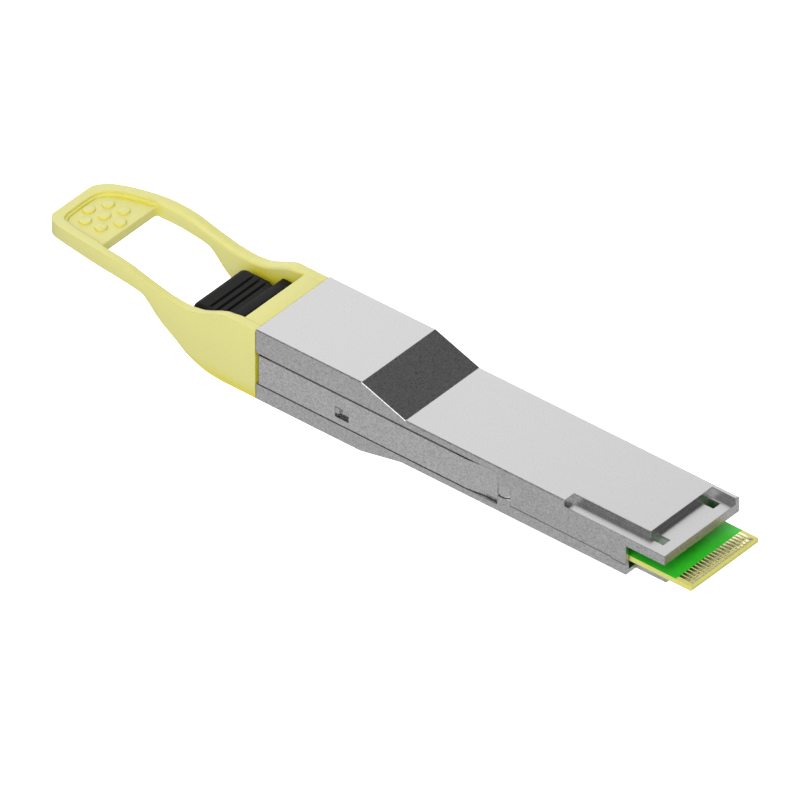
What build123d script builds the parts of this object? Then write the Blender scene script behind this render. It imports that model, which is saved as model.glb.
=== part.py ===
from build123d import *
import os

# Optical transceiver module for a double-density cage: cast shells, a card edge, a fibre port and a
# spring-returned latch slider with a moulded pull tab.
# Millimetres. The origin is at the middle of the flat underside that rides on the cage floor.
# +X points towards the host connector, +Y across the module, +Z up, away from the cage floor.

os.makedirs("parts", exist_ok=True)

overlap = 0.1             # cuts and joined blocks pass this far beyond a shared face

# ---- driving dimensions: outside of the shells ----
body_w = 18.35            # width over the outer side faces
cage_h = 8.5              # height of the section that goes into the cage
floor_len = 45.7          # flat underside, from the lower ramp to the front end of the side walls
lower_ramp_len = 8.4
drop_len = 21.3           # flat underside of the deep rear section
drop_h = 1.76             # how far that underside hangs below the cage floor face
raised_len = 21.55        # flat top of the tall rear section
raised_h = 3.23           # how far it stands above the cage section
top_ramp_len = 9.0
nose_len = 7.8            # lip over the card, beyond the side walls
lip_t = 1.75
recess_depth = 1.15       # step down from the flat top to the lip's upper face
recess_w = 2.45           # width of the step along the open side
plateau_reach = 3.0       # how far the raised top runs out over the lip
recess_len = 15.5         # length of the side step, measured back from the raised top's front end
nose_wall_t = 0.8         # upright wall along the closed side of the nose
edge_r = 0.24             # rounding of the outer top edges
slot_len = 2.75           # two slots through the lip
slot_w = 1.7
slot_inner_y = 5.3
tongue_len = 6.1          # bottom shell's tongue under the card
tongue_inset = 2.46

# ---- driving dimensions: inside of the shells ----
floor_t = 0.8
roof_t = 1.2
front_roof_t = 1.0        # roof under the side step, the thinnest place
rear_wall_t = 1.5
wall_t = 1.45             # side walls that hold the slider channels
front_wall_t = 0.75       # side walls beside the full-width card
spring_block_t = 1.5      # extra thickness of the walls that hold the springs
seam_drop = 0.25          # the seam steps down near the front
seam_drop_len = 3.0
seam_line_h = 0.12        # fine groove along the seam, so that the joint reads as a line
seam_line_d = 0.12
mouth_len = 1.3           # depth of the front opening

# ---- driving dimensions: slider channel, slider and latch ----
travel = 1.8              # how far the pull tab and the slider move
channel_bottom = 1.15
channel_top = 7.3
channel_depth = 0.5
channel_front = -3.25     # front end of the channel
deep_depth = 0.95         # the channel is deeper where the arm steps inwards
deep_len = 9.0
strap_t = 0.3             # sheet thickness of the slider
strap_inset = 0.08        # outer face of the arm, in from the shell's side face
strap_gap_low = 0.12
rear_bend = 0.5           # the arm bends out over this length behind the collar
strap_embed = 2.8         # how far the arms and the strap reach into the collar
strap_end = 0.8           # front edge of the strap, behind the shells' rear face
arm_end_clear = 0.12      # between the arm and the channel's front end
strap_gap_high = 0.4
joggle_depth = 0.45
joggle_len = 3.6
joggle_front = 2.6        # distance from the channel's front end to the end of the joggle
window_len = 2.6          # square window for the slider's tip
window_low = 2.95
window_high = 5.5
tip_clear = 0.12
tip_reach = 2.15          # how far the rounded tip runs beyond the channel's front end
tip_bulge = 0.42
stop_hole_len = 2.8       # hole in the arm round the stop boss
stop_hole_start = 16.1    # from the shells' rear face
stop_hole_low = 2.45
stop_hole_high = 4.42
stop_boss_len = 0.9
stop_clear = 0.05
stop_shade_h = 0.7        # height of the open pocket under the stop boss
lug_len = 1.7
lug_low = 1.6
lug_high = 3.2
lug_from_rear = 28.6      # rear face of the lug, from the shells' rear face

# ---- driving dimensions: return springs ----
spring_len = 8.0
spring_r = 0.75
spring_wire = 0.25
spring_turns = 8
spring_clear = 0.1
spring_wall = 1.0         # wall behind each spring
spring_block_over = 2.4   # how far the thick wall runs on past the lug
mid_len = 21.3            # from there to where the inside widens for the card

# ---- driving dimensions: pull tab ----
tab_gap = 0.1             # between the collar and the shells' rear face
tab_arm_t = 1.9
tab_len = 45.75           # from the shells' rear face to the tip of the grip
collar_len = 3.9
collar_drop = 0.38        # the collar's top sits this far below the shell's top
collar_t = 1.7
collar_run = 6.2          # flat top of the collar and of the arms beside it
loop_end = 33.9           # rear end of the finger opening
loop_corner_r = 1.6
rim_w = 1.75
rim_step_w = 0.45
rim_step = 0.3
rim_taper = 0.35          # the grip is this much narrower at the finger opening's end
grip_recess = 0.9
pip_r = 1.05
pip_h = 0.3
pip_pitch = 3.25
pips_from_tip = 6.85      # from the tip to the middle pip
# arched top edge seen from the side: distance behind the shells, and drop as a share of the dip
tab_dip = 2.58
tab_top = [(8.3, 0.24), (10.2, 0.58), (12.2, 0.86), (14.9, 1.0), (18.1, 0.915), (21.6, 0.65), (24.6, 0.36),
           (27.2, 0.115)]
grip_top = [(30.0, -0.015), (33.2, -0.06), (37.0, 0.01), (40.5, 0.125), (43.5, 0.28), (tab_len, 0.42)]
# lower edge: distance behind the shells, and rise as a share of the way up to the grip
tab_rise = 10.36
tab_low = [(6.5, 0.0), (9.6, 0.026), (12.0, 0.09), (14.2, 0.183), (16.5, 0.345), (20.0, 0.585),
           (22.7, 0.85)]
tab_heel = [(24.3, 0.925), (27.4, 0.968), (30.0, 0.992), (33.5, 1.003), (36.5, 1.005),
            (39.3, 0.995), (42.4, 0.961), (tab_len, 0.899)]
# plan of the grip's outer edge: distance behind the shells, and inset from the body's side face
tab_plan = [(31.5, 0.12), (34.4, 0.38), (37.9, 0.9), (41.4, 1.65), (43.6, 2.4), (44.9, 3.3)]
tab_plan_start = 26.0
tab_tip_inset = 4.75      # half-width lost where the tip turns straight

# ---- driving dimensions: optical port and dust plug ----
port_z = 4.85             # height of the port's axis
port_reach = 5.8          # how far the port stands out behind the shells
port_w = 13.9
port_h = 8.3
port_wall = 0.7
port_depth = 10.0
port_end_t = 2.0
port_fit = 0.05           # clearance between the port and the shells
port_flange = 0.7         # extra size all round of the flange that the shells trap
port_flange_t = 1.2
hook_t = 0.7
hook_h = 3.0
hook_gap = 10.2           # between the two hooks
plug_gap = 0.05
plug_flange_t = 2.1
plug_side_clear = 1.55    # between the plug's core and the port's inner side walls
plug_core_clear = 0.25    # between the core and the port's floor and roof
plug_core_len = 5.2
plug_core_side = 0.9      # walls of the hollow core
plug_core_wall = 1.4
plug_grip_len = 7.8
plug_corner_r = 0.6
plug_edge_r = 1.2
plug_grip_w = 13.0
plug_waist = 1.3
plug_grip_top = 3.1       # above the port's axis
plug_grip_low = 3.1       # below the port's axis
groove_pitch = 1.37
groove_first = 3.1
groove_w = 0.36
groove_d = 0.35

# ---- driving dimensions: ferrule and ribbon ----
ferrule_w = 6.4
ferrule_h = 2.5
ferrule_len = 8.0
ferrule_head_w = 7.0
ferrule_head_h = 3.0
ferrule_head_len = 2.0
ferrule_fit = 0.05
pin_r = 0.35
pin_spacing = 4.6
pin_reach = 2.2
pin_fit = 0.02
clamp_t = 0.8
ribbon_w = 3.1
ribbon_t = 0.32
ribbon_clear = 0.15

# ---- driving dimensions: circuit board ----
board_z = 2.2             # underside, level with the seam of the shells
board_t = 1.0
card_w = 16.42
card_reach = 4.8          # beyond the nose
board_rear_in = 14.75      # from the shells' rear face to the board's rear edge
board_fit = 0.225         # side clearance between the board and the shells
card_bevel = 0.3
corner_bevel = 0.1
pad_pitch = 0.8
pad_count = 19
pad_w = 0.6
pad_t = 0.04
front_pad_start = 0.45    # from the card's front edge
front_pad_len = 0.8
pad_split = 0.2
rear_pad_len = 1.85
ledge_w = 0.8

# ---- driving dimensions: parts on the board ----
engine_len, engine_w, engine_h = 9.5, 9.0, 1.95
engine_in = 16.3          # from the board's rear edge to the engine's front
array_len, array_w, array_h = 3.5, 5.2, 2.1
laser_len, laser_w, laser_h = 2.0, 2.2, 1.3
laser_count, laser_pitch = 4, 3.0
laser_gap = 1.0
pad_gap = 0.8             # thickness of the engine's thermal pad
engine_pad_in = 0.5       # the engine's thermal pad ends this far inside its lid
processor_len, processor_w, processor_h = 13.0, 11.0, 1.5
processor_x = -2.0
processor_pad_t = 0.7
micro_len, micro_h, micro_x, micro_y = 5.0, 0.85, 10.5, -3.7
regulator_len, regulator_h, regulator_x, regulator_y = 4.0, 1.0, 10.0, 3.4
coil_len, coil_w, coil_h = 2.5, 2.0, 1.2
coil_count, coil_pitch, coil_x = 3, 3.6, 11.5
cap_len, cap_w, cap_h = 1.0, 0.5, 0.5
cap_count, cap_pitch = 8, 1.7
cap_front_gap = 2.1       # from the processor to the middle of the first row
cap_rows_in = [4.7, 2.7]  # the other rows, measured back from the gasket
crystal_len, crystal_w, crystal_h = 3.2, 2.5, 0.8
crystal_gap = 1.9         # between the crystal and the processor
gasket_t = 1.4
gasket_in = 2.95          # from the front end of the side walls to the gasket's middle
gasket_fit = 0.02

# ---- driving dimensions: screws ----
screw_r = 0.8
screw_len = 4.5
screw_head_r = 1.25
screw_head_h = 0.65
screw_head_sink = 0.1     # how far the head sits inside the underside
screw_fit = 0.03
screw_clear = 0.12
boss_r = 1.55
boss_foot_r = 2.3
cross_len, cross_w, cross_depth = 1.5, 0.32, 0.35
screw_y = 6.0
rear_screw_in = 11.95     # from the shells' rear face
front_screw_x = -12.0
board_notch_clear = 0.2

# ---- stations and heights worked out from the above ----
half_w = body_w / 2
x_wall_front = floor_len / 2
x_floor_rear = -floor_len / 2
x_drop_end = x_floor_rear - lower_ramp_len
x_back = x_drop_end - drop_len
board_rear = x_back + board_rear_in
engine_front = board_rear + engine_in
rear_screw_x = x_back + rear_screw_in
gasket_x = x_wall_front - gasket_in
crystal_x = processor_x - processor_len / 2 - crystal_gap - crystal_len / 2
cap_rows = [processor_x + processor_len / 2 + cap_front_gap, *(gasket_x - away for away in cap_rows_in)]
x_raised_end = x_back + raised_len
x_top_start = x_raised_end + top_ramp_len
x_nose = x_wall_front + nose_len
x_plateau = x_wall_front + plateau_reach
x_recess = x_plateau - recess_len
x_tongue = x_wall_front + tongue_len
x_inside = x_back + rear_wall_t
x_mouth = x_wall_front - mouth_len
x_card = x_nose + card_reach
z_raised = cage_h + raised_h
z_recess = cage_h - recess_depth
z_lip = z_recess - lip_t
z_ceiling = z_recess - front_roof_t
z_seam = board_z
z_board_top = board_z + board_t
ramp_slope = raised_h / top_ramp_len
x_ceiling_end = x_raised_end + (z_raised - roof_t - z_ceiling) / ramp_slope
inner_half = half_w - wall_t
front_inner_half = half_w - front_wall_t
block_half = inner_half - spring_block_t
x_lug = x_back + lug_from_rear
x_spring = x_lug - spring_len
x_block_rear = x_spring - spring_wall
x_block_front = x_lug + strap_t + spring_block_over
x_wide = x_block_front + mid_len
x_deep = channel_front - deep_len
arm_low = channel_bottom + strap_gap_low
arm_high = channel_top - strap_gap_high
arm_outer = half_w - strap_inset
arm_inner = arm_outer - strap_t
channel_wall = half_w - channel_depth
deep_wall = half_w - deep_depth
x_window_front = channel_front + window_len
sides = (-1, 1)


def outline(plane, points):
    """A flat face on a plane, inside straight lines through the points."""
    with BuildSketch(plane) as sketch:
        with BuildLine():
            Polyline(*points, close=True)
        make_face()
    return sketch.sketch


def block(x, y, z, mode=Mode.ADD):
    """A box between two values on each axis."""
    with Locations(((x[0] + x[1]) / 2, (y[0] + y[1]) / 2, (z[0] + z[1]) / 2)):
        Box(abs(x[1] - x[0]), abs(y[1] - y[0]), abs(z[1] - z[0]), mode=mode)


def upright_rod(x, y, z, radius, mode=Mode.ADD):
    """A round rod along Z between two heights."""
    with Locations((x, y, (z[0] + z[1]) / 2)):
        Cylinder(radius, z[1] - z[0], mode=mode)


def floor_at(x):
    """Height of the outside of the underside at a station."""
    share = (x - x_drop_end) / lower_ramp_len
    return -drop_h * (1 - min(max(share, 0), 1))


def ceiling_at(x):
    """Height of the inside of the roof at a station."""
    sloped = z_raised - roof_t - (x - x_raised_end) * ramp_slope
    return max(min(z_raised - roof_t, sloped), z_ceiling)


def bay(x0, x1):
    """Side view of the inner space between two stations, its floor and roof following the outside."""
    low_bends = [x for x in (x_drop_end, x_floor_rear) if x0 < x < x1]
    high_bends = [x for x in (x_raised_end, x_ceiling_end) if x0 < x < x1]
    low = [(x, floor_at(x) + floor_t) for x in (x0, *low_bends, x1)]
    high = [(x, ceiling_at(x)) for x in (x0, *high_bends, x1)]
    return outline(Plane.XZ, low + high[::-1])


def hollow():
    """Cut the inner space, wider where the walls are thinner and narrower past the spring pockets."""
    extrude(bay(x_inside, x_wide), amount=block_half, both=True, mode=Mode.SUBTRACT)
    extrude(bay(x_inside, x_block_rear), amount=inner_half, both=True, mode=Mode.SUBTRACT)
    extrude(bay(x_block_front, x_wide), amount=inner_half, both=True, mode=Mode.SUBTRACT)
    extrude(bay(x_wide, x_mouth), amount=front_inner_half, both=True, mode=Mode.SUBTRACT)
    across = (-front_inner_half, front_inner_half)
    block((x_mouth, x_wall_front), across, (floor_t, z_lip), Mode.SUBTRACT)


def slider_channels():
    """Cut the two side channels, their deep front ends, the spring pockets and the port opening."""
    for side in sides:
        high = (channel_bottom, channel_top)
        outside = side * (half_w + 1)
        block((x_back, channel_front), (side * channel_wall, outside), high, Mode.SUBTRACT)
        block((x_deep, channel_front), (side * deep_wall, outside), high, Mode.SUBTRACT)
        rear_wall = side * (half_w - deep_depth - strap_t)
        block((x_back, x_back + rear_bend + travel), (rear_wall, outside), high, Mode.SUBTRACT)
        pocket = (side * spring_pocket_inner, side * channel_wall)
        lug_space = (x_spring, x_lug + strap_t + 0.3)
        block(lug_space, pocket, (spring_pocket_low, spring_pocket_high), Mode.SUBTRACT)
    snout = (-port_w / 2 - port_fit, port_w / 2 + port_fit)
    port_heights = (port_z - port_h / 2 - port_fit, port_z + port_h / 2 + port_fit)
    block((x_back - 1, x_inside + 1), snout, port_heights, Mode.SUBTRACT)


spring_y = arm_inner - spring_r - spring_clear - 0.15
spring_z = (lug_low + lug_high) / 2
spring_pocket_inner = spring_y - spring_r - spring_clear
spring_pocket_low = spring_z - spring_r - spring_clear
spring_pocket_high = spring_z + spring_r + spring_clear

port_rear = x_back - port_reach
port_end_rear = port_rear + port_depth
port_end_front = port_end_rear + port_end_t
flange_rear = x_inside + port_fit
flange_front = flange_rear + port_flange_t
ferrule_front = port_end_front + ferrule_head_len
clamp_front = ferrule_front + clamp_t
rib_t = 1.0
screw_places = [(x, side * screw_y) for x in (rear_screw_x, front_screw_x) for side in sides]
half_board_rear = block_half - board_fit
half_board_mid = inner_half - board_fit
half_card = card_w / 2
engine_rear = engine_front - engine_len
pad_rear, pad_front = engine_rear + engine_pad_in, engine_front - engine_pad_in
engine_top = z_board_top + engine_h
processor_top = z_board_top + processor_h
processor_rear = processor_x - processor_len / 2
processor_front = processor_x + processor_len / 2


# ---- top shell ----
with BuildPart() as top_shell:
    top_side = [(x_back, z_seam), (x_back, z_raised), (x_raised_end, z_raised), (x_top_start, cage_h)]
    top_side += [(x_nose, cage_h), (x_nose, z_lip), (x_wall_front, z_lip)]
    top_side += [(x_wall_front, z_seam - seam_drop), (x_wall_front - seam_drop_len, z_seam - seam_drop)]
    top_side += [(x_wall_front - seam_drop_len, z_seam)]
    extrude(outline(Plane.XZ, top_side), amount=half_w, both=True)
    long_edges = top_shell.faces().filter_by(lambda f: f.normal_at().Z > 0.5).edges()
    outer_edges = [e for e in long_edges if abs(abs(e.center().Y) - half_w) < 0.01]
    fillet([e for e in outer_edges if e.center().Z > z_ceiling], radius=edge_r)
    # the lip: a step along the open side and across the front, beside an upright wall
    over = cage_h + 1
    block((x_recess, x_nose + 1), (-half_w - 1, recess_w - half_w), (z_recess, over), Mode.SUBTRACT)
    block((x_plateau, x_nose + 1), (-half_w, half_w - nose_wall_t), (z_recess, over), Mode.SUBTRACT)
    for side in sides:
        slot = (side * slot_inner_y, side * (slot_inner_y + slot_w))
        block((x_plateau, x_plateau + slot_len), slot, (z_lip - 1, over), Mode.SUBTRACT)
    hollow()
    slider_channels()
    for side in sides:
        tab_space = (side * deep_wall, side * (half_w + 1))
        block((channel_front, x_window_front), tab_space, (z_seam - 1, window_high), Mode.SUBTRACT)
        # stop boss for the slider, with a dark pocket beside it
        boss_x = x_back + stop_hole_start + stop_clear
        stop_wall = (side * channel_wall, side * (half_w - strap_inset))
        boss_z = (stop_hole_low + stop_shade_h + overlap, stop_hole_high - overlap)
        block((boss_x, boss_x + stop_boss_len), stop_wall, boss_z)
        pocket_x = (boss_x, boss_x + stop_hole_len - 2 * stop_clear)
        pocket_y = (side * (inner_half + 0.3), side * channel_wall)
        block(pocket_x, pocket_y, (stop_hole_low + 0.05, stop_hole_low + stop_shade_h), Mode.SUBTRACT)
        # ribs that press the card down on the ledges
        rib_y = (side * (half_card - 0.5), side * (front_inner_half + overlap))
        block((x_wide + 1.5, gasket_x - 2), rib_y, (z_board_top, z_ceiling + overlap))
    # trap for the port's flange
    port_stop = (flange_front + port_fit, flange_front + port_fit + rib_t)
    port_top = port_z + port_h / 2 + port_fit
    block(port_stop, (-inner_half - overlap, inner_half + overlap), (port_top, z_raised - roof_t + overlap))
    # pedestals that carry the heat of the engine and the processor up to the roof
    engine_roof = [(pad_rear, engine_top + pad_gap), (pad_front, engine_top + pad_gap)]
    engine_roof += [(pad_front, ceiling_at(pad_front) + 0.2)]
    engine_roof += [(pad_rear, ceiling_at(pad_rear) + 0.2)]
    extrude(outline(Plane.XZ, engine_roof), amount=engine_w / 2 - 0.3, both=True)
    pedestal_z = (processor_top + processor_pad_t, z_ceiling + overlap)
    pedestal_y = (-processor_w / 2, processor_w / 2)
    block((processor_rear, processor_front), pedestal_y, pedestal_z)
    # screw bosses
    for place_x, place_y in screw_places:
        upright_rod(place_x, place_y, (z_seam, ceiling_at(place_x) + 0.2), boss_r)
        head_z = floor_at(place_x) + screw_head_sink + screw_head_h
        hole_z = (z_seam - 1, head_z + screw_len + 0.3)
        upright_rod(place_x, place_y, hole_z, screw_r + screw_fit, Mode.SUBTRACT)
top_shell.part.label = "top_shell"
export_step(top_shell.part, "parts/top_shell.step")

# ---- bottom shell ----
with BuildPart() as bottom_shell:
    low_side = [(x_back, z_seam), (x_back, -drop_h), (x_drop_end, -drop_h), (x_floor_rear, 0)]
    low_side += [(x_wall_front, 0), (x_wall_front, z_seam - seam_drop)]
    low_side += [(x_wall_front - seam_drop_len, z_seam - seam_drop), (x_wall_front - seam_drop_len, z_seam)]
    extrude(outline(Plane.XZ, low_side), amount=half_w, both=True)
    tongue_half = half_w - tongue_inset
    block((x_wall_front - 1, x_tongue), (-tongue_half, tongue_half), (0, floor_t))
    hollow()
    slider_channels()
    for side in sides:
        tab_y = (side * (deep_wall + 0.03), side * half_w)
        block((channel_front, x_window_front), tab_y, (z_seam - 0.5, window_low))
        line_y = (side * (half_w - seam_line_d), side * (half_w + 1))
        x_step = x_wall_front - seam_drop_len
        block((x_window_front, x_step), line_y, (z_seam - seam_line_h, z_seam + 1), Mode.SUBTRACT)
        low_line = (z_seam - seam_drop - seam_line_h, z_seam)
        block((x_step - seam_line_h, x_wall_front + 1), line_y, low_line, Mode.SUBTRACT)
        ledge_y = (side * (half_card - ledge_w), side * (front_inner_half + overlap))
        block((x_wide + 1.5, gasket_x - 2), ledge_y, (floor_t - overlap, z_seam))
        mid_ledge = (side * (half_board_mid - ledge_w), side * (inner_half + overlap))
        block((x_block_front - overlap, front_screw_x - boss_foot_r), mid_ledge, (floor_t - overlap, z_seam))
    port_low = port_z - port_h / 2 - port_fit
    block(port_stop, (-inner_half - overlap, inner_half + overlap), (floor_t - drop_h - overlap, port_low))
    # seat behind the pin clamp, below the ribbon
    seat_z = (floor_t - drop_h - overlap, port_z - ribbon_t / 2 - ribbon_clear)
    block((clamp_front, clamp_front + rib_t), (-ferrule_head_w / 2, ferrule_head_w / 2), seat_z)
    for place_x, place_y in screw_places:
        under = floor_at(place_x)
        upright_rod(place_x, place_y, (under + 0.2, z_seam), boss_foot_r)
        hole_r = screw_r + screw_clear
        upright_rod(place_x, place_y, (under - overlap, z_seam + 1), hole_r, Mode.SUBTRACT)
        sink_top = under + screw_head_sink + screw_head_h
        upright_rod(place_x, place_y, (under - overlap, sink_top), screw_head_r + screw_clear, Mode.SUBTRACT)
bottom_shell.part.label = "bottom_shell"
export_step(bottom_shell.part, "parts/bottom_shell.step")

# ---- case screws, heads down, with a cross recess ----
with BuildPart() as case_screws:
    for place_x, place_y in screw_places:
        head_low = floor_at(place_x) + screw_head_sink
        head_top = head_low + screw_head_h
        upright_rod(place_x, place_y, (head_low, head_top), screw_head_r)
        upright_rod(place_x, place_y, (head_top - overlap, head_top + screw_len), screw_r)
        for long_x, long_y in ((cross_len, cross_w), (cross_w, cross_len)):
            cut_x = (place_x - long_x / 2, place_x + long_x / 2)
            cut_y = (place_y - long_y / 2, place_y + long_y / 2)
            block(cut_x, cut_y, (head_low - overlap, head_low + cross_depth), Mode.SUBTRACT)
case_screws.part.label = "case_screws"
export_step(case_screws.part, "parts/case_screws.step")

# ---- latch slider: two arms and the strap that joins them inside the collar ----
x_joggle_front = channel_front - joggle_front
x_joggle_rear = x_joggle_front - joggle_len
x_arm_front = channel_front - arm_end_clear
embed_outer = half_w - deep_depth + 0.15
x_embed = x_back - strap_embed
x_strap_front = x_back - strap_end
strap_z = z_raised - collar_drop - collar_t / 2 - strap_t / 2


def arm_plan(side):
    """Plan of one arm: in the collar, out to the channel, along it, and in again at the joggle."""
    outer = [(x_embed, embed_outer), (x_back + overlap, embed_outer), (x_back + rear_bend, arm_outer)]
    outer += [(x_joggle_rear, arm_outer), (x_joggle_front, arm_outer - joggle_depth)]
    outer += [(x_arm_front, arm_outer - joggle_depth)]
    points = [(x, side * y) for x, y in outer]
    points += [(x, side * (y - strap_t)) for x, y in outer[::-1]]
    return outline(Plane.XY.offset(arm_low), points)


with BuildPart() as latch_slider:
    for side in sides:
        extrude(arm_plan(side), amount=arm_high - arm_low)
        # the arm's rear end rises to the strap inside the collar
        riser_y = (side * (embed_outer - strap_t), side * embed_outer)
        block((x_embed, x_strap_front), riser_y, (arm_low, strap_z + strap_t))
        # rounded tip that pushes the cage's spring finger
        tip_y = arm_outer - joggle_depth
        x_tip = channel_front + tip_reach
        with BuildSketch(Plane.XY.offset(window_low + tip_clear)):
            with BuildLine():
                start = (x_arm_front - 0.3, side * tip_y)
                crest = ((x_arm_front + x_tip) / 2, side * (tip_y + tip_bulge))
                end = (x_tip, side * (tip_y - overlap))
                out_curve = Spline(start, crest, end)
                back_start = (start[0], side * (tip_y - strap_t))
                back_crest = (crest[0], side * (tip_y + tip_bulge - strap_t))
                back_end = (end[0] - 0.15, side * (tip_y - 0.1 - strap_t * 0.9))
                back_curve = Spline(back_start, back_crest, back_end)
                Line(out_curve @ 0, back_curve @ 0)
                Line(out_curve @ 1, back_curve @ 1)
            make_face()
        extrude(amount=window_high - window_low - 2 * tip_clear)
        # hole round the stop boss
        hole_x = (x_back + stop_hole_start, x_back + stop_hole_start + stop_hole_len)
        hole_y = (side * (arm_inner - overlap), side * (arm_outer + overlap))
        block(hole_x, hole_y, (stop_hole_low, stop_hole_high), Mode.SUBTRACT)
        # lug that compresses the spring
        lug_y = (side * (arm_inner - lug_len), side * (arm_inner + overlap))
        block((x_lug, x_lug + strap_t), lug_y, (lug_low, lug_high))
    block((x_embed, x_strap_front), (-embed_outer, embed_outer), (strap_z, strap_z + strap_t))
latch_slider.part.label = "latch_slider"
export_step(latch_slider.part, "parts/latch_slider.step")

# ---- return springs ----
for spring_name, side in (("left_return_spring", 1), ("right_return_spring", -1)):
    with BuildPart() as spring:
        coil_length = spring_len - 2 * spring_wire
        start_x = x_spring + spring_wire
        with BuildLine() as coil:
            Helix(coil_length / spring_turns, coil_length, spring_r - spring_wire / 2,
                  center=(start_x, side * spring_y, spring_z), direction=(1, 0, 0))
        with BuildSketch(Plane(origin=coil.line @ 0, z_dir=coil.line % 0)):
            Circle(spring_wire / 2)
        sweep()
    spring.part.label = spring_name
    export_step(spring.part, f"parts/{spring_name}.step")

# ---- pull tab ----
x_tip_end = x_back - tab_len
x_tab_front = x_back - tab_gap
x_collar_rear = x_back - collar_len
x_loop_rear = x_back - loop_end
z_collar = z_raised - collar_drop
loop_half = half_w - tab_arm_t
tab_end_half = half_w - tab_tip_inset
kink = (0.62, -0.78)      # direction of the lower edge where it turns from the grip down to the arm
over_grip = 3.0           # cuts into the grip's top reach this far above it


def upper(points):
    """Places on the tab's top edge, seen from the side."""
    return [(x_back - d, z_collar - share * tab_dip) for d, share in points]


def lower(points):
    """Places on the tab's lower edge, seen from the side, from the grip to the collar."""
    return [(x_back - d, -drop_h + share * tab_rise) for d, share in points[::-1]]


def plan_edge(inset):
    """Points along one side of the grip's plan, moved in by an inset."""
    return [(x_back - d + inset * 0.6, half_w - i - inset) for d, i in tab_plan]


def grip_band(deep, shallow):
    """Side view of the grip between two depths below its arched top."""
    arch = upper(grip_top)
    with BuildSketch(Plane.XZ) as sketch:
        with BuildLine():
            low = Spline(*[(x, z - deep) for x, z in arch])
            high = Spline(*[(x, z - shallow) for x, z in arch])
            Line(low @ 0, high @ 0)
            Line(low @ 1, high @ 1)
        make_face()
    return sketch.sketch


def rim_plan(inset):
    """Plan of the recess in the grip, moved in from the grip's outline, open at the finger opening."""
    with BuildSketch() as sketch:
        with BuildLine():
            rim = plan_edge(inset)[2:-1]
            rim_end = (x_tip_end + inset, tab_end_half - inset / 2)
            front_y = half_w - inset - rim_taper
            start = Line((x_loop_rear + 0.01, front_y), (x_loop_rear + 0.01, -front_y))
            near_points = [(x, -y) for x, y in rim] + [(rim_end[0], -rim_end[1])]
            near_rim = Spline(start @ 1, *near_points, tangents=[(-1, 0.1), (0, 1)])
            across = Line(near_rim @ 1, rim_end)
            Spline(across @ 1, *rim[::-1], start @ 0, tangents=[(0, 1), (1, 0.1)])
        make_face()
    return sketch.sketch


def grip_cut(inset, depth):
    """The space of one step of the recess in the grip."""
    with BuildPart() as cut:
        extrude(grip_band(depth, -over_grip), amount=half_w, both=True)
        extrude(rim_plan(inset), amount=2 * z_raised, mode=Mode.INTERSECT)
    return cut.part


def grip_pips():
    """Seven round pips in a hexagon, standing on the recessed panel."""
    with BuildPart() as pips:
        extrude(grip_band(grip_recess + overlap, grip_recess - pip_h), amount=half_w, both=True)
        with BuildSketch():
            with Locations((x_tip_end + pips_from_tip, 0)):
                Circle(pip_r)
                with PolarLocations(pip_pitch, 6):
                    Circle(pip_r)
        extrude(amount=2 * z_raised, mode=Mode.INTERSECT)
    return pips.part


with BuildPart() as pull_tab:
    with BuildSketch(Plane.XZ):
        with BuildLine():
            top_flat = Line((x_tab_front, z_collar), (x_back - collar_run, z_collar))
            top_curve = Spline(top_flat @ 1, *upper(tab_top + grip_top), tangents=[(-1, 0), (-0.95, -0.3)])
            heel_points = lower(tab_heel)
            low_points = lower(tab_low)
            tip = Line(top_curve @ 1, heel_points[0])
            heel = Spline(*heel_points, low_points[0], tangents=[(0.95, 0.25), kink])
            low_curve = Spline(*low_points, tangents=[kink, (1, 0)])
            low_flat = Line(low_curve @ 1, (x_tab_front, -drop_h))
            Line(low_flat @ 1, top_flat @ 0)
        make_face()
    extrude(amount=half_w, both=True)
    with BuildSketch(Plane.XY.offset(-drop_h - 1)):
        with BuildLine():
            side_points = plan_edge(0) + [(x_tip_end, tab_end_half)]
            near_points = [(x, -y) for x, y in side_points]
            near = Line((x_tab_front, -half_w), (x_back - tab_plan_start, -half_w))
            near_curve = Spline(near @ 1, *near_points, tangents=[(-1, 0), (0, 1)])
            end_line = Line(near_curve @ 1, side_points[-1])
            far_end = (x_back - tab_plan_start, half_w)
            far_curve = Spline(*side_points[::-1], far_end, tangents=[(0, 1), (1, 0)])
            far = Line(far_curve @ 1, (x_tab_front, half_w))
            Line(far @ 1, near @ 0)
        make_face()
    extrude(amount=z_raised + drop_h + 2, mode=Mode.INTERSECT)
    # finger opening, with rounded corners at the grip
    loop_len = x_collar_rear - x_loop_rear
    with BuildSketch(Plane.XY.offset(-drop_h - 1)):
        with Locations(((x_collar_rear + x_loop_rear) / 2, 0)):
            Rectangle(loop_len, 2 * loop_half)
    extrude(amount=z_raised + drop_h + 2, mode=Mode.SUBTRACT)
    loop_corners = pull_tab.edges().filter_by(Axis.Z)
    loop_corners = [e for e in loop_corners if abs(e.center().X - x_loop_rear) < 0.01]
    fillet([e for e in loop_corners if abs(abs(e.center().Y) - loop_half) < 0.01], radius=loop_corner_r)
    # room under the collar's bar for the port
    bar_low = z_collar - collar_t
    room_y = (-loop_half, loop_half)
    block((x_collar_rear - overlap, x_tab_front + overlap), room_y, (-drop_h - 1, bar_low), Mode.SUBTRACT)
    # recessed grip panel with a stepped rim, open towards the finger opening
    add(grip_cut(rim_w, rim_step), mode=Mode.SUBTRACT)
    add(grip_cut(rim_w + rim_step_w, grip_recess), mode=Mode.SUBTRACT)
    add(grip_pips())
    add(latch_slider.part, mode=Mode.SUBTRACT)
pull_tab.part.label = "pull_tab"
export_step(pull_tab.part, "parts/pull_tab.step")

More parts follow.
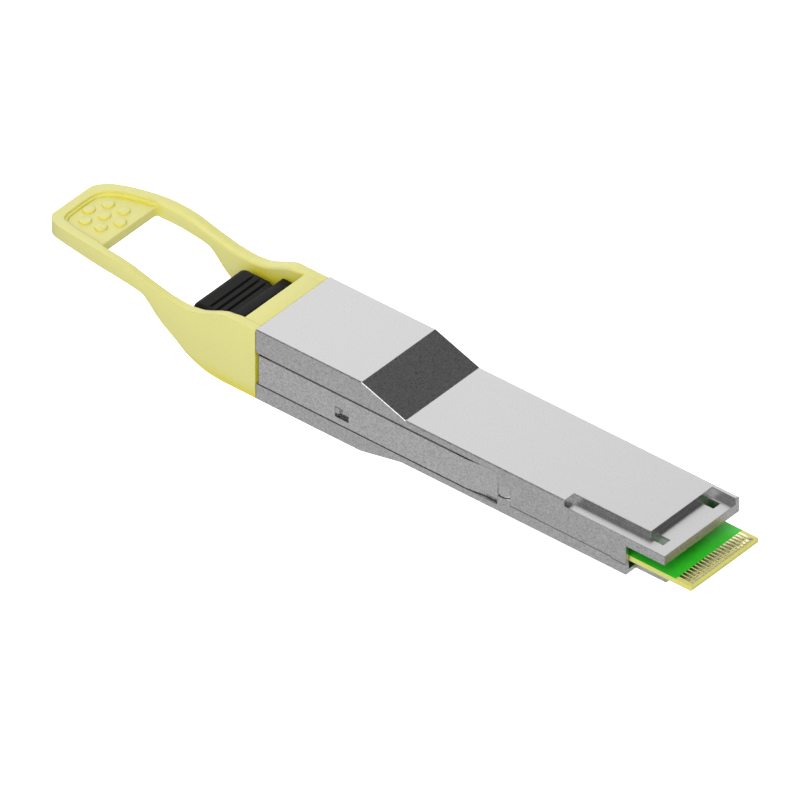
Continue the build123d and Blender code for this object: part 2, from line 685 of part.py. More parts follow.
# ---- optical receptacle ----
with BuildPart() as optical_receptacle:
    snout_y = (-port_w / 2, port_w / 2)
    snout_z = (port_z - port_h / 2, port_z + port_h / 2)
    block((port_rear, port_end_front), snout_y, snout_z)
    flange_y = (-port_w / 2 - port_flange, port_w / 2 + port_flange)
    flange_z = (port_z - port_h / 2 - port_flange, port_z + port_h / 2 + port_flange)
    block((flange_rear, flange_front), flange_y, flange_z)
    bore_y = (-port_w / 2 + port_wall, port_w / 2 - port_wall)
    bore_z = (port_z - port_h / 2 + port_wall, port_z + port_h / 2 - port_wall)
    block((port_rear - 1, port_end_rear), bore_y, bore_z, Mode.SUBTRACT)
    hole_y = (-ferrule_w / 2 - ferrule_fit, ferrule_w / 2 + ferrule_fit)
    hole_z = (port_z - ferrule_h / 2 - ferrule_fit, port_z + ferrule_h / 2 + ferrule_fit)
    block((port_end_rear - 1, port_end_front + 1), hole_y, hole_z, Mode.SUBTRACT)
optical_receptacle.part.label = "optical_receptacle"
export_step(optical_receptacle.part, "parts/optical_receptacle.step")

# ---- hooks that hold a fibre plug ----
with BuildPart() as connector_hooks:
    for side in sides:
        hook_y = (side * hook_gap / 2, side * (hook_gap / 2 + hook_t))
        hook_z = (port_z - hook_h / 2, port_z + hook_h / 2)
        block((port_rear + 3.0, port_end_rear), hook_y, hook_z)
        catch_y = (side * (hook_gap / 2 - 0.3), side * (hook_gap / 2 + overlap))
        block((port_rear + 3.0, port_rear + 3.8), catch_y, hook_z)
connector_hooks.part.label = "connector_hooks"
export_step(connector_hooks.part, "parts/connector_hooks.step")

# ---- ferrule, guide pins and their clamp ----
ferrule_rear = ferrule_front - ferrule_len
with BuildPart() as ferrule:
    ferrule_y = (-ferrule_w / 2, ferrule_w / 2)
    block((ferrule_rear, port_end_front), ferrule_y, (port_z - ferrule_h / 2, port_z + ferrule_h / 2))
    head_y = (-ferrule_head_w / 2, ferrule_head_w / 2)
    head_z = (port_z - ferrule_head_h / 2, port_z + ferrule_head_h / 2)
    block((port_end_front, ferrule_front), head_y, head_z)
    for side in sides:
        with Locations(((ferrule_rear + ferrule_front) / 2, side * pin_spacing / 2, port_z)):
            Cylinder(pin_r + pin_fit, ferrule_len + 1, rotation=(0, 90, 0), mode=Mode.SUBTRACT)
ferrule.part.label = "ferrule"
export_step(ferrule.part, "parts/ferrule.step")

with BuildPart() as guide_pins:
    pin_len = pin_reach + ferrule_len
    for side in sides:
        with Locations((ferrule_front - pin_len / 2, side * pin_spacing / 2, port_z)):
            Cylinder(pin_r, pin_len, rotation=(0, 90, 0))
    tips = guide_pins.edges().filter_by(GeomType.CIRCLE).group_by(Axis.X)[0]
    chamfer(tips, 0.12)
guide_pins.part.label = "guide_pins"
export_step(guide_pins.part, "parts/guide_pins.step")

with BuildPart() as pin_clamp:
    block((ferrule_front, clamp_front), head_y, head_z)
    slot_y = (-ribbon_w / 2 - ribbon_clear, ribbon_w / 2 + ribbon_clear)
    slot_z = (port_z - ribbon_t / 2 - ribbon_clear, port_z + ribbon_t / 2 + ribbon_clear)
    block((ferrule_front - 1, clamp_front + 1), slot_y, slot_z, Mode.SUBTRACT)
pin_clamp.part.label = "pin_clamp"
export_step(pin_clamp.part, "parts/pin_clamp.step")

# ---- fibre ribbon and the block that ends it ----
array_rear = engine_rear - array_len
with BuildPart() as fibre_ribbon:
    ribbon_y = (-ribbon_w / 2, ribbon_w / 2)
    block((ferrule_front, array_rear), ribbon_y, (port_z - ribbon_t / 2, port_z + ribbon_t / 2))
fibre_ribbon.part.label = "fibre_ribbon"
export_step(fibre_ribbon.part, "parts/fibre_ribbon.step")

with BuildPart() as fibre_array_block:
    array_y = (-array_w / 2, array_w / 2)
    block((array_rear, engine_rear), array_y, (z_board_top, z_board_top + array_h))
fibre_array_block.part.label = "fibre_array_block"
export_step(fibre_array_block.part, "parts/fibre_array_block.step")

# ---- circuit board ----
with BuildPart() as circuit_board:
    board_mid_rear = x_block_front + 0.4
    board_wide_rear = x_wide + 0.6
    plan = [(board_rear, half_board_rear), (board_mid_rear, half_board_rear)]
    plan += [(board_mid_rear, half_board_mid), (board_wide_rear, half_board_mid)]
    plan += [(board_wide_rear, half_card), (x_card - corner_bevel, half_card)]
    plan += [(x_card, half_card - corner_bevel)]
    plan += [(x, -y) for x, y in plan[::-1]]
    extrude(outline(Plane.XY.offset(board_z), plan), amount=board_t)
    front_edges = circuit_board.faces().sort_by(Axis.X)[-1].edges().filter_by(Axis.Y)
    chamfer(front_edges, card_bevel)
    for side in sides:
        notch_r = boss_r + board_notch_clear
        upright_rod(front_screw_x, side * screw_y, (board_z - 1, z_board_top + 1), notch_r, Mode.SUBTRACT)
        notch_y = (side * screw_y, side * (half_board_mid + 1))
        notch_x = (front_screw_x - notch_r, front_screw_x + notch_r)
        block(notch_x, notch_y, (board_z - 1, z_board_top + 1), Mode.SUBTRACT)
circuit_board.part.label = "circuit_board"
export_step(circuit_board.part, "parts/circuit_board.step")

# ---- contact pads, two rows on each face ----
front_pad_x = x_card - front_pad_start - front_pad_len / 2
rear_pad_x = front_pad_x - front_pad_len / 2 - pad_split - rear_pad_len / 2
for contacts_name, contacts_z in (("top_contacts", z_board_top), ("bottom_contacts", board_z - pad_t)):
    with BuildPart() as contacts:
        with BuildSketch(Plane.XY.offset(contacts_z)):
            with Locations((front_pad_x, 0)):
                with GridLocations(1, pad_pitch, 1, pad_count):
                    Rectangle(front_pad_len, pad_w)
            with Locations((rear_pad_x, 0)):
                with GridLocations(1, pad_pitch, 1, pad_count):
                    Rectangle(rear_pad_len, pad_w)
        extrude(amount=pad_t)
    contacts.part.label = contacts_name
    export_step(contacts.part, f"parts/{contacts_name}.step")

# ---- optical engine and lasers ----
with BuildPart() as optical_engine:
    engine_y = (-engine_w / 2, engine_w / 2)
    block((engine_rear, engine_front), engine_y, (z_board_top, engine_top))
optical_engine.part.label = "optical_engine"
export_step(optical_engine.part, "parts/optical_engine.step")

with BuildPart() as engine_thermal_pad:
    pad_y = (-engine_w / 2 + 0.3, engine_w / 2 - 0.3)
    block((pad_rear, pad_front), pad_y, (engine_top, engine_top + pad_gap))
engine_thermal_pad.part.label = "engine_thermal_pad"
export_step(engine_thermal_pad.part, "parts/engine_thermal_pad.step")

with BuildPart() as laser_modules:
    laser_x = engine_front + laser_gap + laser_len / 2
    with Locations((laser_x, 0, z_board_top + laser_h / 2)):
        with GridLocations(1, laser_pitch, 1, laser_count):
            Box(laser_len, laser_w, laser_h)
laser_modules.part.label = "laser_modules"
export_step(laser_modules.part, "parts/laser_modules.step")

# ---- signal processor and its thermal pad ----
with BuildPart() as signal_processor:
    processor_y = (-processor_w / 2, processor_w / 2)
    block((processor_rear, processor_front), processor_y, (z_board_top, processor_top - 0.4))
    lid_y = (-processor_w / 2 + 1, processor_w / 2 - 1)
    block((processor_rear + 1, processor_front - 1), lid_y, (processor_top - 0.5, processor_top))
signal_processor.part.label = "signal_processor"
export_step(signal_processor.part, "parts/signal_processor.step")

with BuildPart() as processor_thermal_pad:
    pad_z = (processor_top, processor_top + processor_pad_t)
    block((processor_rear + 1, processor_front - 1), lid_y, pad_z)
processor_thermal_pad.part.label = "processor_thermal_pad"
export_step(processor_thermal_pad.part, "parts/processor_thermal_pad.step")

# ---- small parts on the board ----
with BuildPart() as microcontroller:
    with Locations((micro_x, micro_y, z_board_top + micro_h / 2)):
        Box(micro_len, micro_len, micro_h)
microcontroller.part.label = "microcontroller"
export_step(microcontroller.part, "parts/microcontroller.step")

with BuildPart() as power_regulator:
    with Locations((regulator_x, regulator_y, z_board_top + regulator_h / 2)):
        Box(regulator_len, regulator_len, regulator_h)
power_regulator.part.label = "power_regulator"
export_step(power_regulator.part, "parts/power_regulator.step")

with BuildPart() as power_inductors:
    with Locations((coil_x, 0, board_z - coil_h / 2)):
        with GridLocations(coil_pitch, 1, coil_count, 1):
            Box(coil_len, coil_w, coil_h)
power_inductors.part.label = "power_inductors"
export_step(power_inductors.part, "parts/power_inductors.step")

with BuildPart() as capacitors:
    for row_x in cap_rows:
        with Locations((row_x, 0, z_board_top + cap_h / 2)):
            with GridLocations(1, cap_pitch, 1, cap_count):
                Box(cap_len, cap_w, cap_h)
capacitors.part.label = "capacitors"
export_step(capacitors.part, "parts/capacitors.step")

with BuildPart() as clock_crystal:
    with Locations((crystal_x, 0, z_board_top + crystal_h / 2)):
        Box(crystal_len, crystal_w, crystal_h)
clock_crystal.part.label = "clock_crystal"
export_step(clock_crystal.part, "parts/clock_crystal.step")

# ---- gasket ring round the board, behind the front opening ----
with BuildPart() as emi_gasket:
    gasket_span = (gasket_x - gasket_t / 2, gasket_x + gasket_t / 2)
    gasket_y = (gasket_fit - front_inner_half, front_inner_half - gasket_fit)
    block(gasket_span, gasket_y, (floor_t, z_ceiling))
    hole_x = (gasket_span[0] - 1, gasket_span[1] + 1)
    block(hole_x, (-half_card, half_card), (board_z, z_board_top), Mode.SUBTRACT)
emi_gasket.part.label = "emi_gasket"
export_step(emi_gasket.part, "parts/emi_gasket.step")

# ---- dust plug ----
plug_front = port_rear - plug_gap
plug_rear = plug_front - plug_flange_t
with BuildPart() as dust_plug:
    block((plug_rear, plug_front), snout_y, snout_z)
    core_half_w = port_w / 2 - port_wall - plug_side_clear
    core_half_h = port_h / 2 - port_wall - plug_core_clear
    core_y = (-core_half_w, core_half_w)
    core_z = (port_z - core_half_h, port_z + core_half_h)
    block((plug_front - overlap, plug_front + plug_core_len), core_y, core_z)
    hollow_y = (plug_core_side - core_half_w, core_half_w - plug_core_side)
    hollow_z = (port_z + plug_core_wall - core_half_h, port_z + core_half_h - plug_core_wall)
    block((plug_front + 0.5, plug_front + plug_core_len + 1), hollow_y, hollow_z, Mode.SUBTRACT)
    # grip block, waisted where it meets the flange, with grooves across its top and underside
    x_grip = plug_rear - plug_grip_len
    half_grip = plug_grip_w / 2
    with BuildSketch(Plane.XY.offset(port_z - plug_grip_low)):
        with BuildLine():
            waist = (plug_rear + overlap, half_grip - plug_waist)
            far = Spline(waist, (plug_rear - 2.4, half_grip), tangents=[(-0.2, 1), (-1, 0)])
            run = Line(far @ 1, (x_grip + plug_corner_r, half_grip))
            corner = RadiusArc(run @ 1, (x_grip, half_grip - plug_corner_r), -plug_corner_r)
            back = Line(corner @ 1, (x_grip, plug_corner_r - half_grip))
            corner_2 = RadiusArc(back @ 1, (x_grip + plug_corner_r, -half_grip), -plug_corner_r)
            run_2 = Line(corner_2 @ 1, (plug_rear - 2.4, -half_grip))
            near = Spline(run_2 @ 1, (waist[0], -waist[1]), tangents=[(1, 0), (0.2, 1)])
            Line(near @ 1, far @ 0)
        make_face()
    extrude(amount=plug_grip_low + plug_grip_top)
    rear_edges = dust_plug.edges().filter_by(Axis.Y).group_by(Axis.X)[0]
    fillet(rear_edges, radius=plug_edge_r)
    for step in range(3):
        groove_x = x_grip + groove_first + step * groove_pitch
        for groove_z in (port_z + plug_grip_top, port_z - plug_grip_low):
            span = (groove_x - groove_w / 2, groove_x + groove_w / 2)
            groove_heights = (groove_z - groove_d, groove_z + groove_d)
            block(span, (-half_grip - 1, half_grip + 1), groove_heights, Mode.SUBTRACT)
dust_plug.part.label = "dust_plug"
export_step(dust_plug.part, "parts/dust_plug.step")
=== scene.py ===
"""Optical transceiver module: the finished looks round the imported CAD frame.

Each operator makes one piece or one group of like pieces, and the panel lists them.
Metres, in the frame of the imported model: +X towards the card edge, +Z away from the cage floor.
"""

import bmesh
import bpy
import numpy as np
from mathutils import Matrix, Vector


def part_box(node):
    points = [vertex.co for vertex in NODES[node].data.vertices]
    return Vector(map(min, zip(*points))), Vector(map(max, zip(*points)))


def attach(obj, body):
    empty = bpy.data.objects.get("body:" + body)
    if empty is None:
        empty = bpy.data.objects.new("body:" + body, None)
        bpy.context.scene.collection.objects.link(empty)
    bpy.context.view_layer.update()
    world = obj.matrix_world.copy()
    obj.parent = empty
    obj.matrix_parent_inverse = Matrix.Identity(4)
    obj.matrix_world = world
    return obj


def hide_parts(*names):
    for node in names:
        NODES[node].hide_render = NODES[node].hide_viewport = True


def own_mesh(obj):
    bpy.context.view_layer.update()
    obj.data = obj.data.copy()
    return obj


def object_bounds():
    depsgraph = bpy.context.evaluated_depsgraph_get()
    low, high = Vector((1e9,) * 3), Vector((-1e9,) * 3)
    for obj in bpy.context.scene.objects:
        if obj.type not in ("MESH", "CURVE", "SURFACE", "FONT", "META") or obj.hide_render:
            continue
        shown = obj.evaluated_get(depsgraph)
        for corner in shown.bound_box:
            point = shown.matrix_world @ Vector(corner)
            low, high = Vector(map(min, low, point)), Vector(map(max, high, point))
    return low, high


bl_info = {
    "name": "Optical transceiver module",
    "version": (1, 0, 0),
    "blender": (4, 5, 0),
    "location": "3D view > Sidebar > Transceiver",
    "description": "Finished surfaces and materials for a pluggable optical transceiver module",
    "category": "Object",
}

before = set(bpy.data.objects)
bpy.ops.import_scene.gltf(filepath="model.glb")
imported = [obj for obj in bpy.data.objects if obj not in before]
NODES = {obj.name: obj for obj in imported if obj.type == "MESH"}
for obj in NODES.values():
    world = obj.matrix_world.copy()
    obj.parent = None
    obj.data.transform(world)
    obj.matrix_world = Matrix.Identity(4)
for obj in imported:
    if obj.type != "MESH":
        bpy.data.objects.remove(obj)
CAD_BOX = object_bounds()
MM = 0.001

# The pull tab's shape, behind the shells, as distances in millimetres and shares of a height or an inset.
TAB_TOP = [(0, 0), (3, 0), (6.2, 0), (8.3, 0.24), (10.2, 0.58), (12.2, 0.86), (14.9, 1.0), (18.1, 0.915),
           (21.6, 0.65), (24.6, 0.36), (27.2, 0.115), (30.0, -0.015), (33.2, -0.06), (37.0, 0.01),
           (40.5, 0.125), (43.5, 0.28), (45.75, 0.42)]
TAB_LOW = [(0, 0), (6.5, 0), (9.6, 0.026), (12.0, 0.09), (14.2, 0.183), (16.5, 0.345), (20.0, 0.585),
           (22.7, 0.85), (23.4, 0.9), (24.3, 0.925), (27.4, 0.968), (30.0, 0.992), (33.5, 1.003),
           (36.5, 1.005), (39.3, 0.995), (42.4, 0.961), (45.75, 0.899)]
# the plan: how far the outer edge is in from the full width at each distance, then the same on the tip's
# face, where the edge turns straight and at the next point along it
TAB_PLAN = [(27, 0), (31.5, 0.12), (34.4, 0.38), (37.9, 0.9), (41.4, 1.65), (43.6, 2.4), (44.9, 3.3)]
TAB_TIP = (4.75, 6.2)
PAD_COUNT = 19
GROUND_STEP = 3  # every third contact is a ground


# ---------------------------------------------------------------- settings

def colour(name, description, default):
    """A colour property; its default is an sRGB hex value."""
    return bpy.props.FloatVectorProperty(name=name, description=description, subtype="COLOR",
                                         size=4, min=0, max=1, default=linear(default))


def length(name, millimetres, description=""):
    """A length property in metres; its default is given in millimetres."""
    return bpy.props.FloatProperty(name=name, description=description, unit="LENGTH", precision=5,
                                   default=millimetres * MM, min=0)


def share(name, description, default):
    """A property between 0 and 1."""
    return bpy.props.FloatProperty(name=name, description=description, default=default, min=0, max=1)


def number(name, description, default, **limits):
    """Another number property, from 0 up unless limits say so."""
    return bpy.props.FloatProperty(name=name, description=description, default=default,
                                   **{"min": 0, **limits})


def direction(name, description, default):
    """A direction in the model's frame."""
    return bpy.props.FloatVectorProperty(name=name, description=description, subtype="DIRECTION", size=3,
                                         default=default)


def linear(code):
    """An sRGB hex value as linear red, green, blue and alpha."""
    parts = np.array([int(code[i:i + 2], 16) for i in (1, 3, 5)]) / 255
    low, high = parts / 12.92, ((parts + 0.055) / 1.055) ** 2.4
    return (*np.where(parts <= 0.04045, low, high).tolist(), 1.0)


class TransceiverMetalSettings(bpy.types.PropertyGroup):
    """Colours and grain of the metal parts."""
    shell_colour: colour("Shell", "Colour of the plated zinc casting", "#BDBDBD")
    steel_colour: colour("Steel", "Colour of the slider, the screws and the springs", "#C4C4C5")
    gold_colour: colour("Contact gold", "Colour of the plating on the contact pads", "#EDE8BE")
    cast_grain: length("Casting grain", 0.3, "Size of the fine grain on the cast shells")
    cast_spread: share("Grain strength", "How much the grain varies in tone", 0.24)
    # the grain is painted fainter on level faces, standing in for the highlight that washes it out there
    flat_share: share("Level grain", "The grain's strength on level faces, as a share of that", 0.2)
    # painted shade: an outline in a darker tone along every edge of the metal, standing in for the shade on
    # its eased edges
    edge_shade: share("Edge shade", "Tone of the outline along edges, as a share of the metal's", 0.35)
    edge_strength: share("Edge strength", "How strongly that outline shows", 0.6)
    edge_width: length("Edge easing", 0.14, "Width over which edges are eased")


class TransceiverTabSettings(bpy.types.PropertyGroup):
    """Sizes and colour of the pull tab."""
    tab_colour: colour("Tab", "Colour of the moulded pull tab", "#E4E08D")
    # painted shade: a deeper yellow drawn along the tab's edges, another mixed into its corners, and how far
    # that reaches
    edge_shade_colour: colour("Tab edges", "Deeper colour along the tab's edges", "#BDB42C")
    corner_shade_colour: colour("Tab corners", "Deeper colour in the tab's corners", "#E0D422")
    corner_shade_reach: length("Corner reach", 3.0, "How far from a corner that colour begins")
    edge_width: length("Edge easing", 0.3, "Width over which edges are eased")
    dip: length("Dip", 2.58, "How far the tab's top dips between the collar and the grip")
    rise: length("Rise", 10.36, "How far the underside rises from the collar to the grip")
    arm_width: length("Arm width", 1.9)
    rim_width: length("Rim width", 1.75)
    collar_drop: length("Collar drop", 0.38, "How far the collar's top is below the shell's top")
    collar_length: length("Collar length", 3.9)
    collar_thickness: length("Collar thickness", 1.7)
    opening_end: length("Opening end", 33.9, "Where the finger opening ends, behind the shells")
    recess: length("Recess", 0.9, "Depth of the recessed grip below the rim")
    step_depth: length("Step depth", 0.3)
    step_width: length("Step width", 0.45)
    outer_round: length("Outer rounding", 0.06, "Rounding of the outer edges")
    inner_round: length("Inner rounding", 0.7, "Rounding of the arms' inner top edges")
    rim_round: length("Rim rounding", 0.08)
    corner_blend: length("Corner blending", 2.2, "How broadly the recess is rounded at its corners")
    opening_bend: length("Opening corners", 1.6, "Radius of the finger opening's corners at the grip")
    panel_round: length("Panel top rounding", 0.12, "Rounding of the panel's front top edge")
    panel_under: length("Panel low rounding", 0.5, "Rounding of the panel's front lower edge")
    collar_round: length("Collar rounding", 0.22)
    step_round: length("Step rounding", 0.12)
    pip_round: length("Pip rounding", 0.14)
    pip_radius: length("Pip radius", 1.05)
    pip_height: length("Pip height", 0.3)
    pip_pitch: length("Pip pitch", 3.25, "Distance between neighbouring pips")
    pips_from_tip: length("Pips from tip", 6.85, "From the tip to the middle pip")


class TransceiverPlugSettings(bpy.types.PropertyGroup):
    """Sizes and colour of the dust plug and the port."""
    plug_colour: colour("Plug", "Colour of the moulded dust plug", "#141414")
    port_colour: colour("Port", "Colour of the moulded port", "#121212")
    flange: length("Flange", 2.1, "Thickness of the plug's flange")
    waist: length("Waist", 1.3, "How far the grip narrows on each side at the flange")
    grip_width: length("Grip width", 13.0, "Width of the plug's grip")
    waist_length: length("Waist length", 2.4)
    grip_height: length("Grip height", 6.2)
    core_width: length("Core width", 9.4, "Width of the core that fills the port")
    core_height: length("Core height", 6.4)
    port_gap: length("Port gap", 0.05, "Between the flange and the port")
    edge_round: length("Edge rounding", 0.3)
    end_round: length("End rounding", 1.2, "Rounding of the grip's far end")
    side_round: length("Side rounding", 1.2, "Rounding of the grip's sides")
    groove_width: length("Groove width", 0.36)
    groove_depth: length("Groove depth", 0.35)
    groove_pitch: length("Groove pitch", 1.37)
    groove_first: length("First groove", 3.1, "From the grip's end to its first groove")


class TransceiverCardSettings(bpy.types.PropertyGroup):
    """Sizes and colours of the card edge."""
    mask_colour: colour("Solder mask", "Colour of the green solder mask", "#36C92C")
    laminate_colour: colour("Laminate", "Colour of the bare glass laminate", "#DEDA7C")
    resin_colour: colour("Laminate edge", "Colour of the resin along the cut edges", "#D0C932")
    resin_width: length("Resin width", 0.16)
    mask_end: length("Mask end", 3.3, "From the card's front edge back to the solder mask")
    pad_pitch: length("Pad pitch", 0.8)
    pad_width: length("Pad width", 0.6)
    ground_lead: length("Ground lead", 0.25, "How far forward the ground pads are split")
    pad_round: length("Pad rounding", 0.018)
    front_start: length("Front row", 0.45, "From the card's front edge to the front row of pads")
    front_length: length("Front pad length", 0.8)
    split: length("Row gap", 0.2, "Gap between the two rows of pads")
    rear_length: length("Rear pad length", 1.85)


class TransceiverSpringSettings(bpy.types.PropertyGroup):
    """Sizes of the two return springs."""
    wire: length("Wire", 0.25)
    turns: bpy.props.IntProperty(name="Turns", description="Number of turns", default=8, min=2)


class TransceiverStageSettings(bpy.types.PropertyGroup):
    """The camera, the floor and the lights."""
    floor_colour: colour("Floor", "Colour of the plain pale floor", "#F4F4F4")
    floor_glow: number("Floor glow", "Light from within the floor", 1.08)
    width: length("View width", 125.69, "Width of what the camera sees")
    lens: number("Lens", "Length of the lens in millimetres", 1500, min=50)
    aim: bpy.props.FloatVectorProperty(name="Aim", description="Point in the middle of the view",
                                       subtype="XYZ", unit="LENGTH", size=3, precision=5,
                                       default=(-30.71 * MM, 0, 3.145 * MM))
    towards: direction("Direction", "Direction from the object to the camera", (0.51214, -0.61458, 0.6))
    key_towards: direction("Key direction", "Direction from the object to the key", (-0.80, 0.52, 0.42))
    fill_towards: direction("Fill direction", "Direction from the object to the fill", (0.30, -0.62, 0.82))
    key_size: length("Key size", 550)
    key_distance: length("Key distance", 500)
    key_power: number("Key", "Power of the large light behind the object", 1.25, unit="POWER")
    fill_size: length("Fill size", 700)
    fill_distance: length("Fill distance", 600)
    fill_power: number("Fill", "Power of the soft light on the camera's side", 4.4, unit="POWER")
    sky: number("Surroundings", "Brightness of the surroundings", 1.0)


def settings(name):
    """One of this add-on's groups of settings."""
    return getattr(bpy.context.scene, name)


# ---------------------------------------------------------------- material nodes

def add_node(tree, kind, links=(), sockets=None, stops=(), **attributes):
    """Add a node: set its attributes, sockets and colour stops, then link (socket in, node, socket out)."""
    node = tree.nodes.new(kind)
    for name, value in attributes.items():
        setattr(node, name, value)
    for name, value in (sockets or {}).items():
        node.inputs[name].default_value = value
    for number, (at, value) in enumerate(stops):
        elements = node.color_ramp.elements
        stop = elements[number] if number < 2 else elements.new(at)
        stop.position, stop.color = at, value
    for into, source, out in links:
        tree.links.new(source.outputs[out], node.inputs[into])
    return node


def new_material(name, **shader_sockets):
    """A material with one principled shader; returns it with its tree, shader and object coordinates."""
    material = bpy.data.materials.new(name)
    material.use_nodes = True
    tree = material.node_tree
    tree.nodes.clear()
    shader = add_node(tree, "ShaderNodeBsdfPrincipled",
                      sockets={key.replace("_", " "): value for key, value in shader_sockets.items()})
    add_node(tree, "ShaderNodeOutputMaterial", links=[("Surface", shader, "BSDF")])
    place = add_node(tree, "ShaderNodeTexCoord")
    return material, tree, shader, place


def shaded(value, base):
    """A colour made lighter or darker by a factor."""
    return (*[min(1.0, c * value) for c in base[:3]], 1.0)


def spread_stops(base, below, above):
    """Colour stops across the middle of a noise: a colour darkened by one share and lightened by another."""
    return [(0.3, shaded(1 - below, base)), (0.7, shaded(1 + above, base))]


# On metal and on the tab this draws painted shade along every edge; on the card it draws the resin's colour
# at the cut edges.
def outlined(tree, finish, tone, width, drop, full, strength):
    """Draw the outline of every edge over a finish, a pair of a node and its output, in another tone.
    Where a normal eased over the width turns from the true one, their product drops below 1: the outline
    begins at drop and is complete at full. Returns the new finish and the node with the eased normal."""
    eased = add_node(tree, "ShaderNodeBevel", samples=6, sockets={"Radius": width})
    true = add_node(tree, "ShaderNodeNewGeometry")
    along = add_node(tree, "ShaderNodeVectorMath", operation="DOT_PRODUCT",
                     links=[(0, eased, "Normal"), (1, true, "Normal")])
    outline = add_node(tree, "ShaderNodeMapRange", links=[("Value", along, "Value")],
                       sockets={"From Min": drop, "From Max": full, "To Max": strength})
    mixed = add_node(tree, "ShaderNodeMix", data_type="RGBA", sockets={7: (*tone[:3], 1.0)},
                     links=[("Factor", outline, "Result"), (6, *finish)])
    return (mixed, 2), eased


def varied(name, base, size, spread, rough, rough_spread, depth=0.0, stretch=1.0, flat_spread=None,
           edge=None, edge_width=0.0, corner_shade=None, **shader_sockets):
    """A material whose colour, roughness and relief follow one grain.

    size is the grain's size and depth the relief's depth, in metres; stretch below 1 draws the grain out
    along X; flat_spread is the colour spread on level faces, if it differs. With edge, a colour whose alpha
    is its strength, painted shade is drawn in it along every edge, edge_width wide, and edges catch light as
    if they were eased. The corner colour, whose alpha is its reach in metres, is painted shade in the
    corners that little light reaches."""
    material, tree, shader, place = new_material(name, **shader_sockets)
    drawn = add_node(tree, "ShaderNodeMapping", links=[("Vector", place, "Object")],
                     sockets={"Scale": (stretch, 1, 1)})
    noise = add_node(tree, "ShaderNodeTexNoise", links=[("Vector", drawn, "Vector")],
                     sockets={"Scale": 1 / size, "Detail": 3.0, "Roughness": 0.6})
    strong = add_node(tree, "ShaderNodeValToRGB", links=[("Fac", noise, "Fac")],
                      stops=spread_stops(base, spread, spread))
    finish = (strong, "Color")
    # on faces that look up, the grain is painted fainter, standing in for the highlight there
    if flat_spread is not None:
        faint = add_node(tree, "ShaderNodeValToRGB", links=[("Fac", noise, "Fac")],
                         stops=spread_stops(base, flat_spread, flat_spread))
        facing = add_node(tree, "ShaderNodeSeparateXYZ", links=[("Vector", place, "Normal")])
        level = add_node(tree, "ShaderNodeMapRange", links=[("Value", facing, "Z")],
                         sockets={"From Min": 0.955, "From Max": 0.985})
        finish = (add_node(tree, "ShaderNodeMix", data_type="RGBA",
                           links=[("Factor", level, "Result"), (6, *finish), (7, faint, "Color")]), 2)
    rough_node = add_node(tree, "ShaderNodeMapRange", links=[("Value", noise, "Fac")],
                          sockets={"From Min": 0.3, "From Max": 0.7, "To Min": rough - rough_spread,
                                   "To Max": rough + rough_spread})
    tree.links.new(rough_node.outputs["Result"], shader.inputs["Roughness"])
    bump = add_node(tree, "ShaderNodeBump", links=[("Height", noise, "Fac")],
                    sockets={"Distance": depth, "Strength": 0.6}) if depth else None
    # painted shade: the edge colour is drawn along every edge
    if edge is not None:
        finish, eased = outlined(tree, finish, edge, edge_width, 0.97, 0.8, edge[3])
        if bump:
            tree.links.new(eased.outputs["Normal"], bump.inputs["Normal"])
    # painted shade: the corner colour is mixed in where ambient occlusion finds that little light reaches
    if corner_shade is not None:
        open_sky = add_node(tree, "ShaderNodeAmbientOcclusion", samples=6, sockets={"Distance": corner_shade[3]})
        closed = add_node(tree, "ShaderNodeMapRange", links=[("Value", open_sky, "AO")],
                          sockets={"From Min": 0.9, "From Max": 0.45})
        finish = (add_node(tree, "ShaderNodeMix", data_type="RGBA", sockets={7: (*corner_shade[:3], 1.0)},
                           links=[("Factor", closed, "Result"), (6, *finish)]), 2)
    tree.links.new(finish[0].outputs[finish[1]], shader.inputs["Base Color"])
    if bump:
        tree.links.new(bump.outputs["Normal"], shader.inputs["Normal"])
    return material


def metal_edge_shade(base):
    """The settings of the painted shade, an outline in a darker tone drawn along a metal's edges."""
    own = settings("transceiver_metal")
    return {"edge": (*shaded(own.edge_shade, base)[:3], own.edge_strength), "edge_width": own.edge_width}


def plated_zinc_casting():
    """Nickel-plated zinc alloy, die cast and blasted: a soft sheen broken by a fine even grain. On level
    faces the grain is painted faint, standing in for the highlight that washes it out there."""
    own = settings("transceiver_metal")
    # the blasted grain is under 0.1 mm; it is drawn coarser, so that it shows
    return varied("nickel_plated_zinc_die_cast", own.shell_colour, own.cast_grain, own.cast_spread, 0.3, 0.03,
                  depth=0.0015 * MM, flat_spread=own.cast_spread * own.flat_share, Metallic=1.0,
                  **metal_edge_shade(own.shell_colour))


def stainless(name, grain, stretch, spread=0.14):
    """Stainless steel: bright, with a fine grain, drawn out along X where it was rolled or drawn."""
    base = settings("transceiver_metal").steel_colour
    return varied(name, base, grain, spread, 0.3, 0.05, depth=0.003 * MM, stretch=stretch, Metallic=1.0,
                  **metal_edge_shade(base))


def moulded_tab_plastic():
    """Pale yellow moulded polyester: light passes a little way in, and a spark-eroded mould leaves a fine
    matt grain. The deeper colour along the edges and in the corners is painted shade."""
    own = settings("transceiver_tab")
    # painted shade along the edges and in the corners, in deeper yellows
    material = varied("moulded_polyester_yellow", own.tab_colour, 0.22 * MM, 0.03, 0.46, 0.05,
                      depth=0.002 * MM, edge=(*own.edge_shade_colour[:3], 0.8), edge_width=own.edge_width,
                      corner_shade=(*own.corner_shade_colour[:3], own.corner_shade_reach), IOR=1.5,
                      Subsurface_Weight=0.1, Subsurface_Scale=0.5 * MM)
    shader = material.node_tree.nodes["Principled BSDF"]
    shader.inputs["Subsurface Radius"].default_value = (1.0, 0.95, 0.3)
    return material


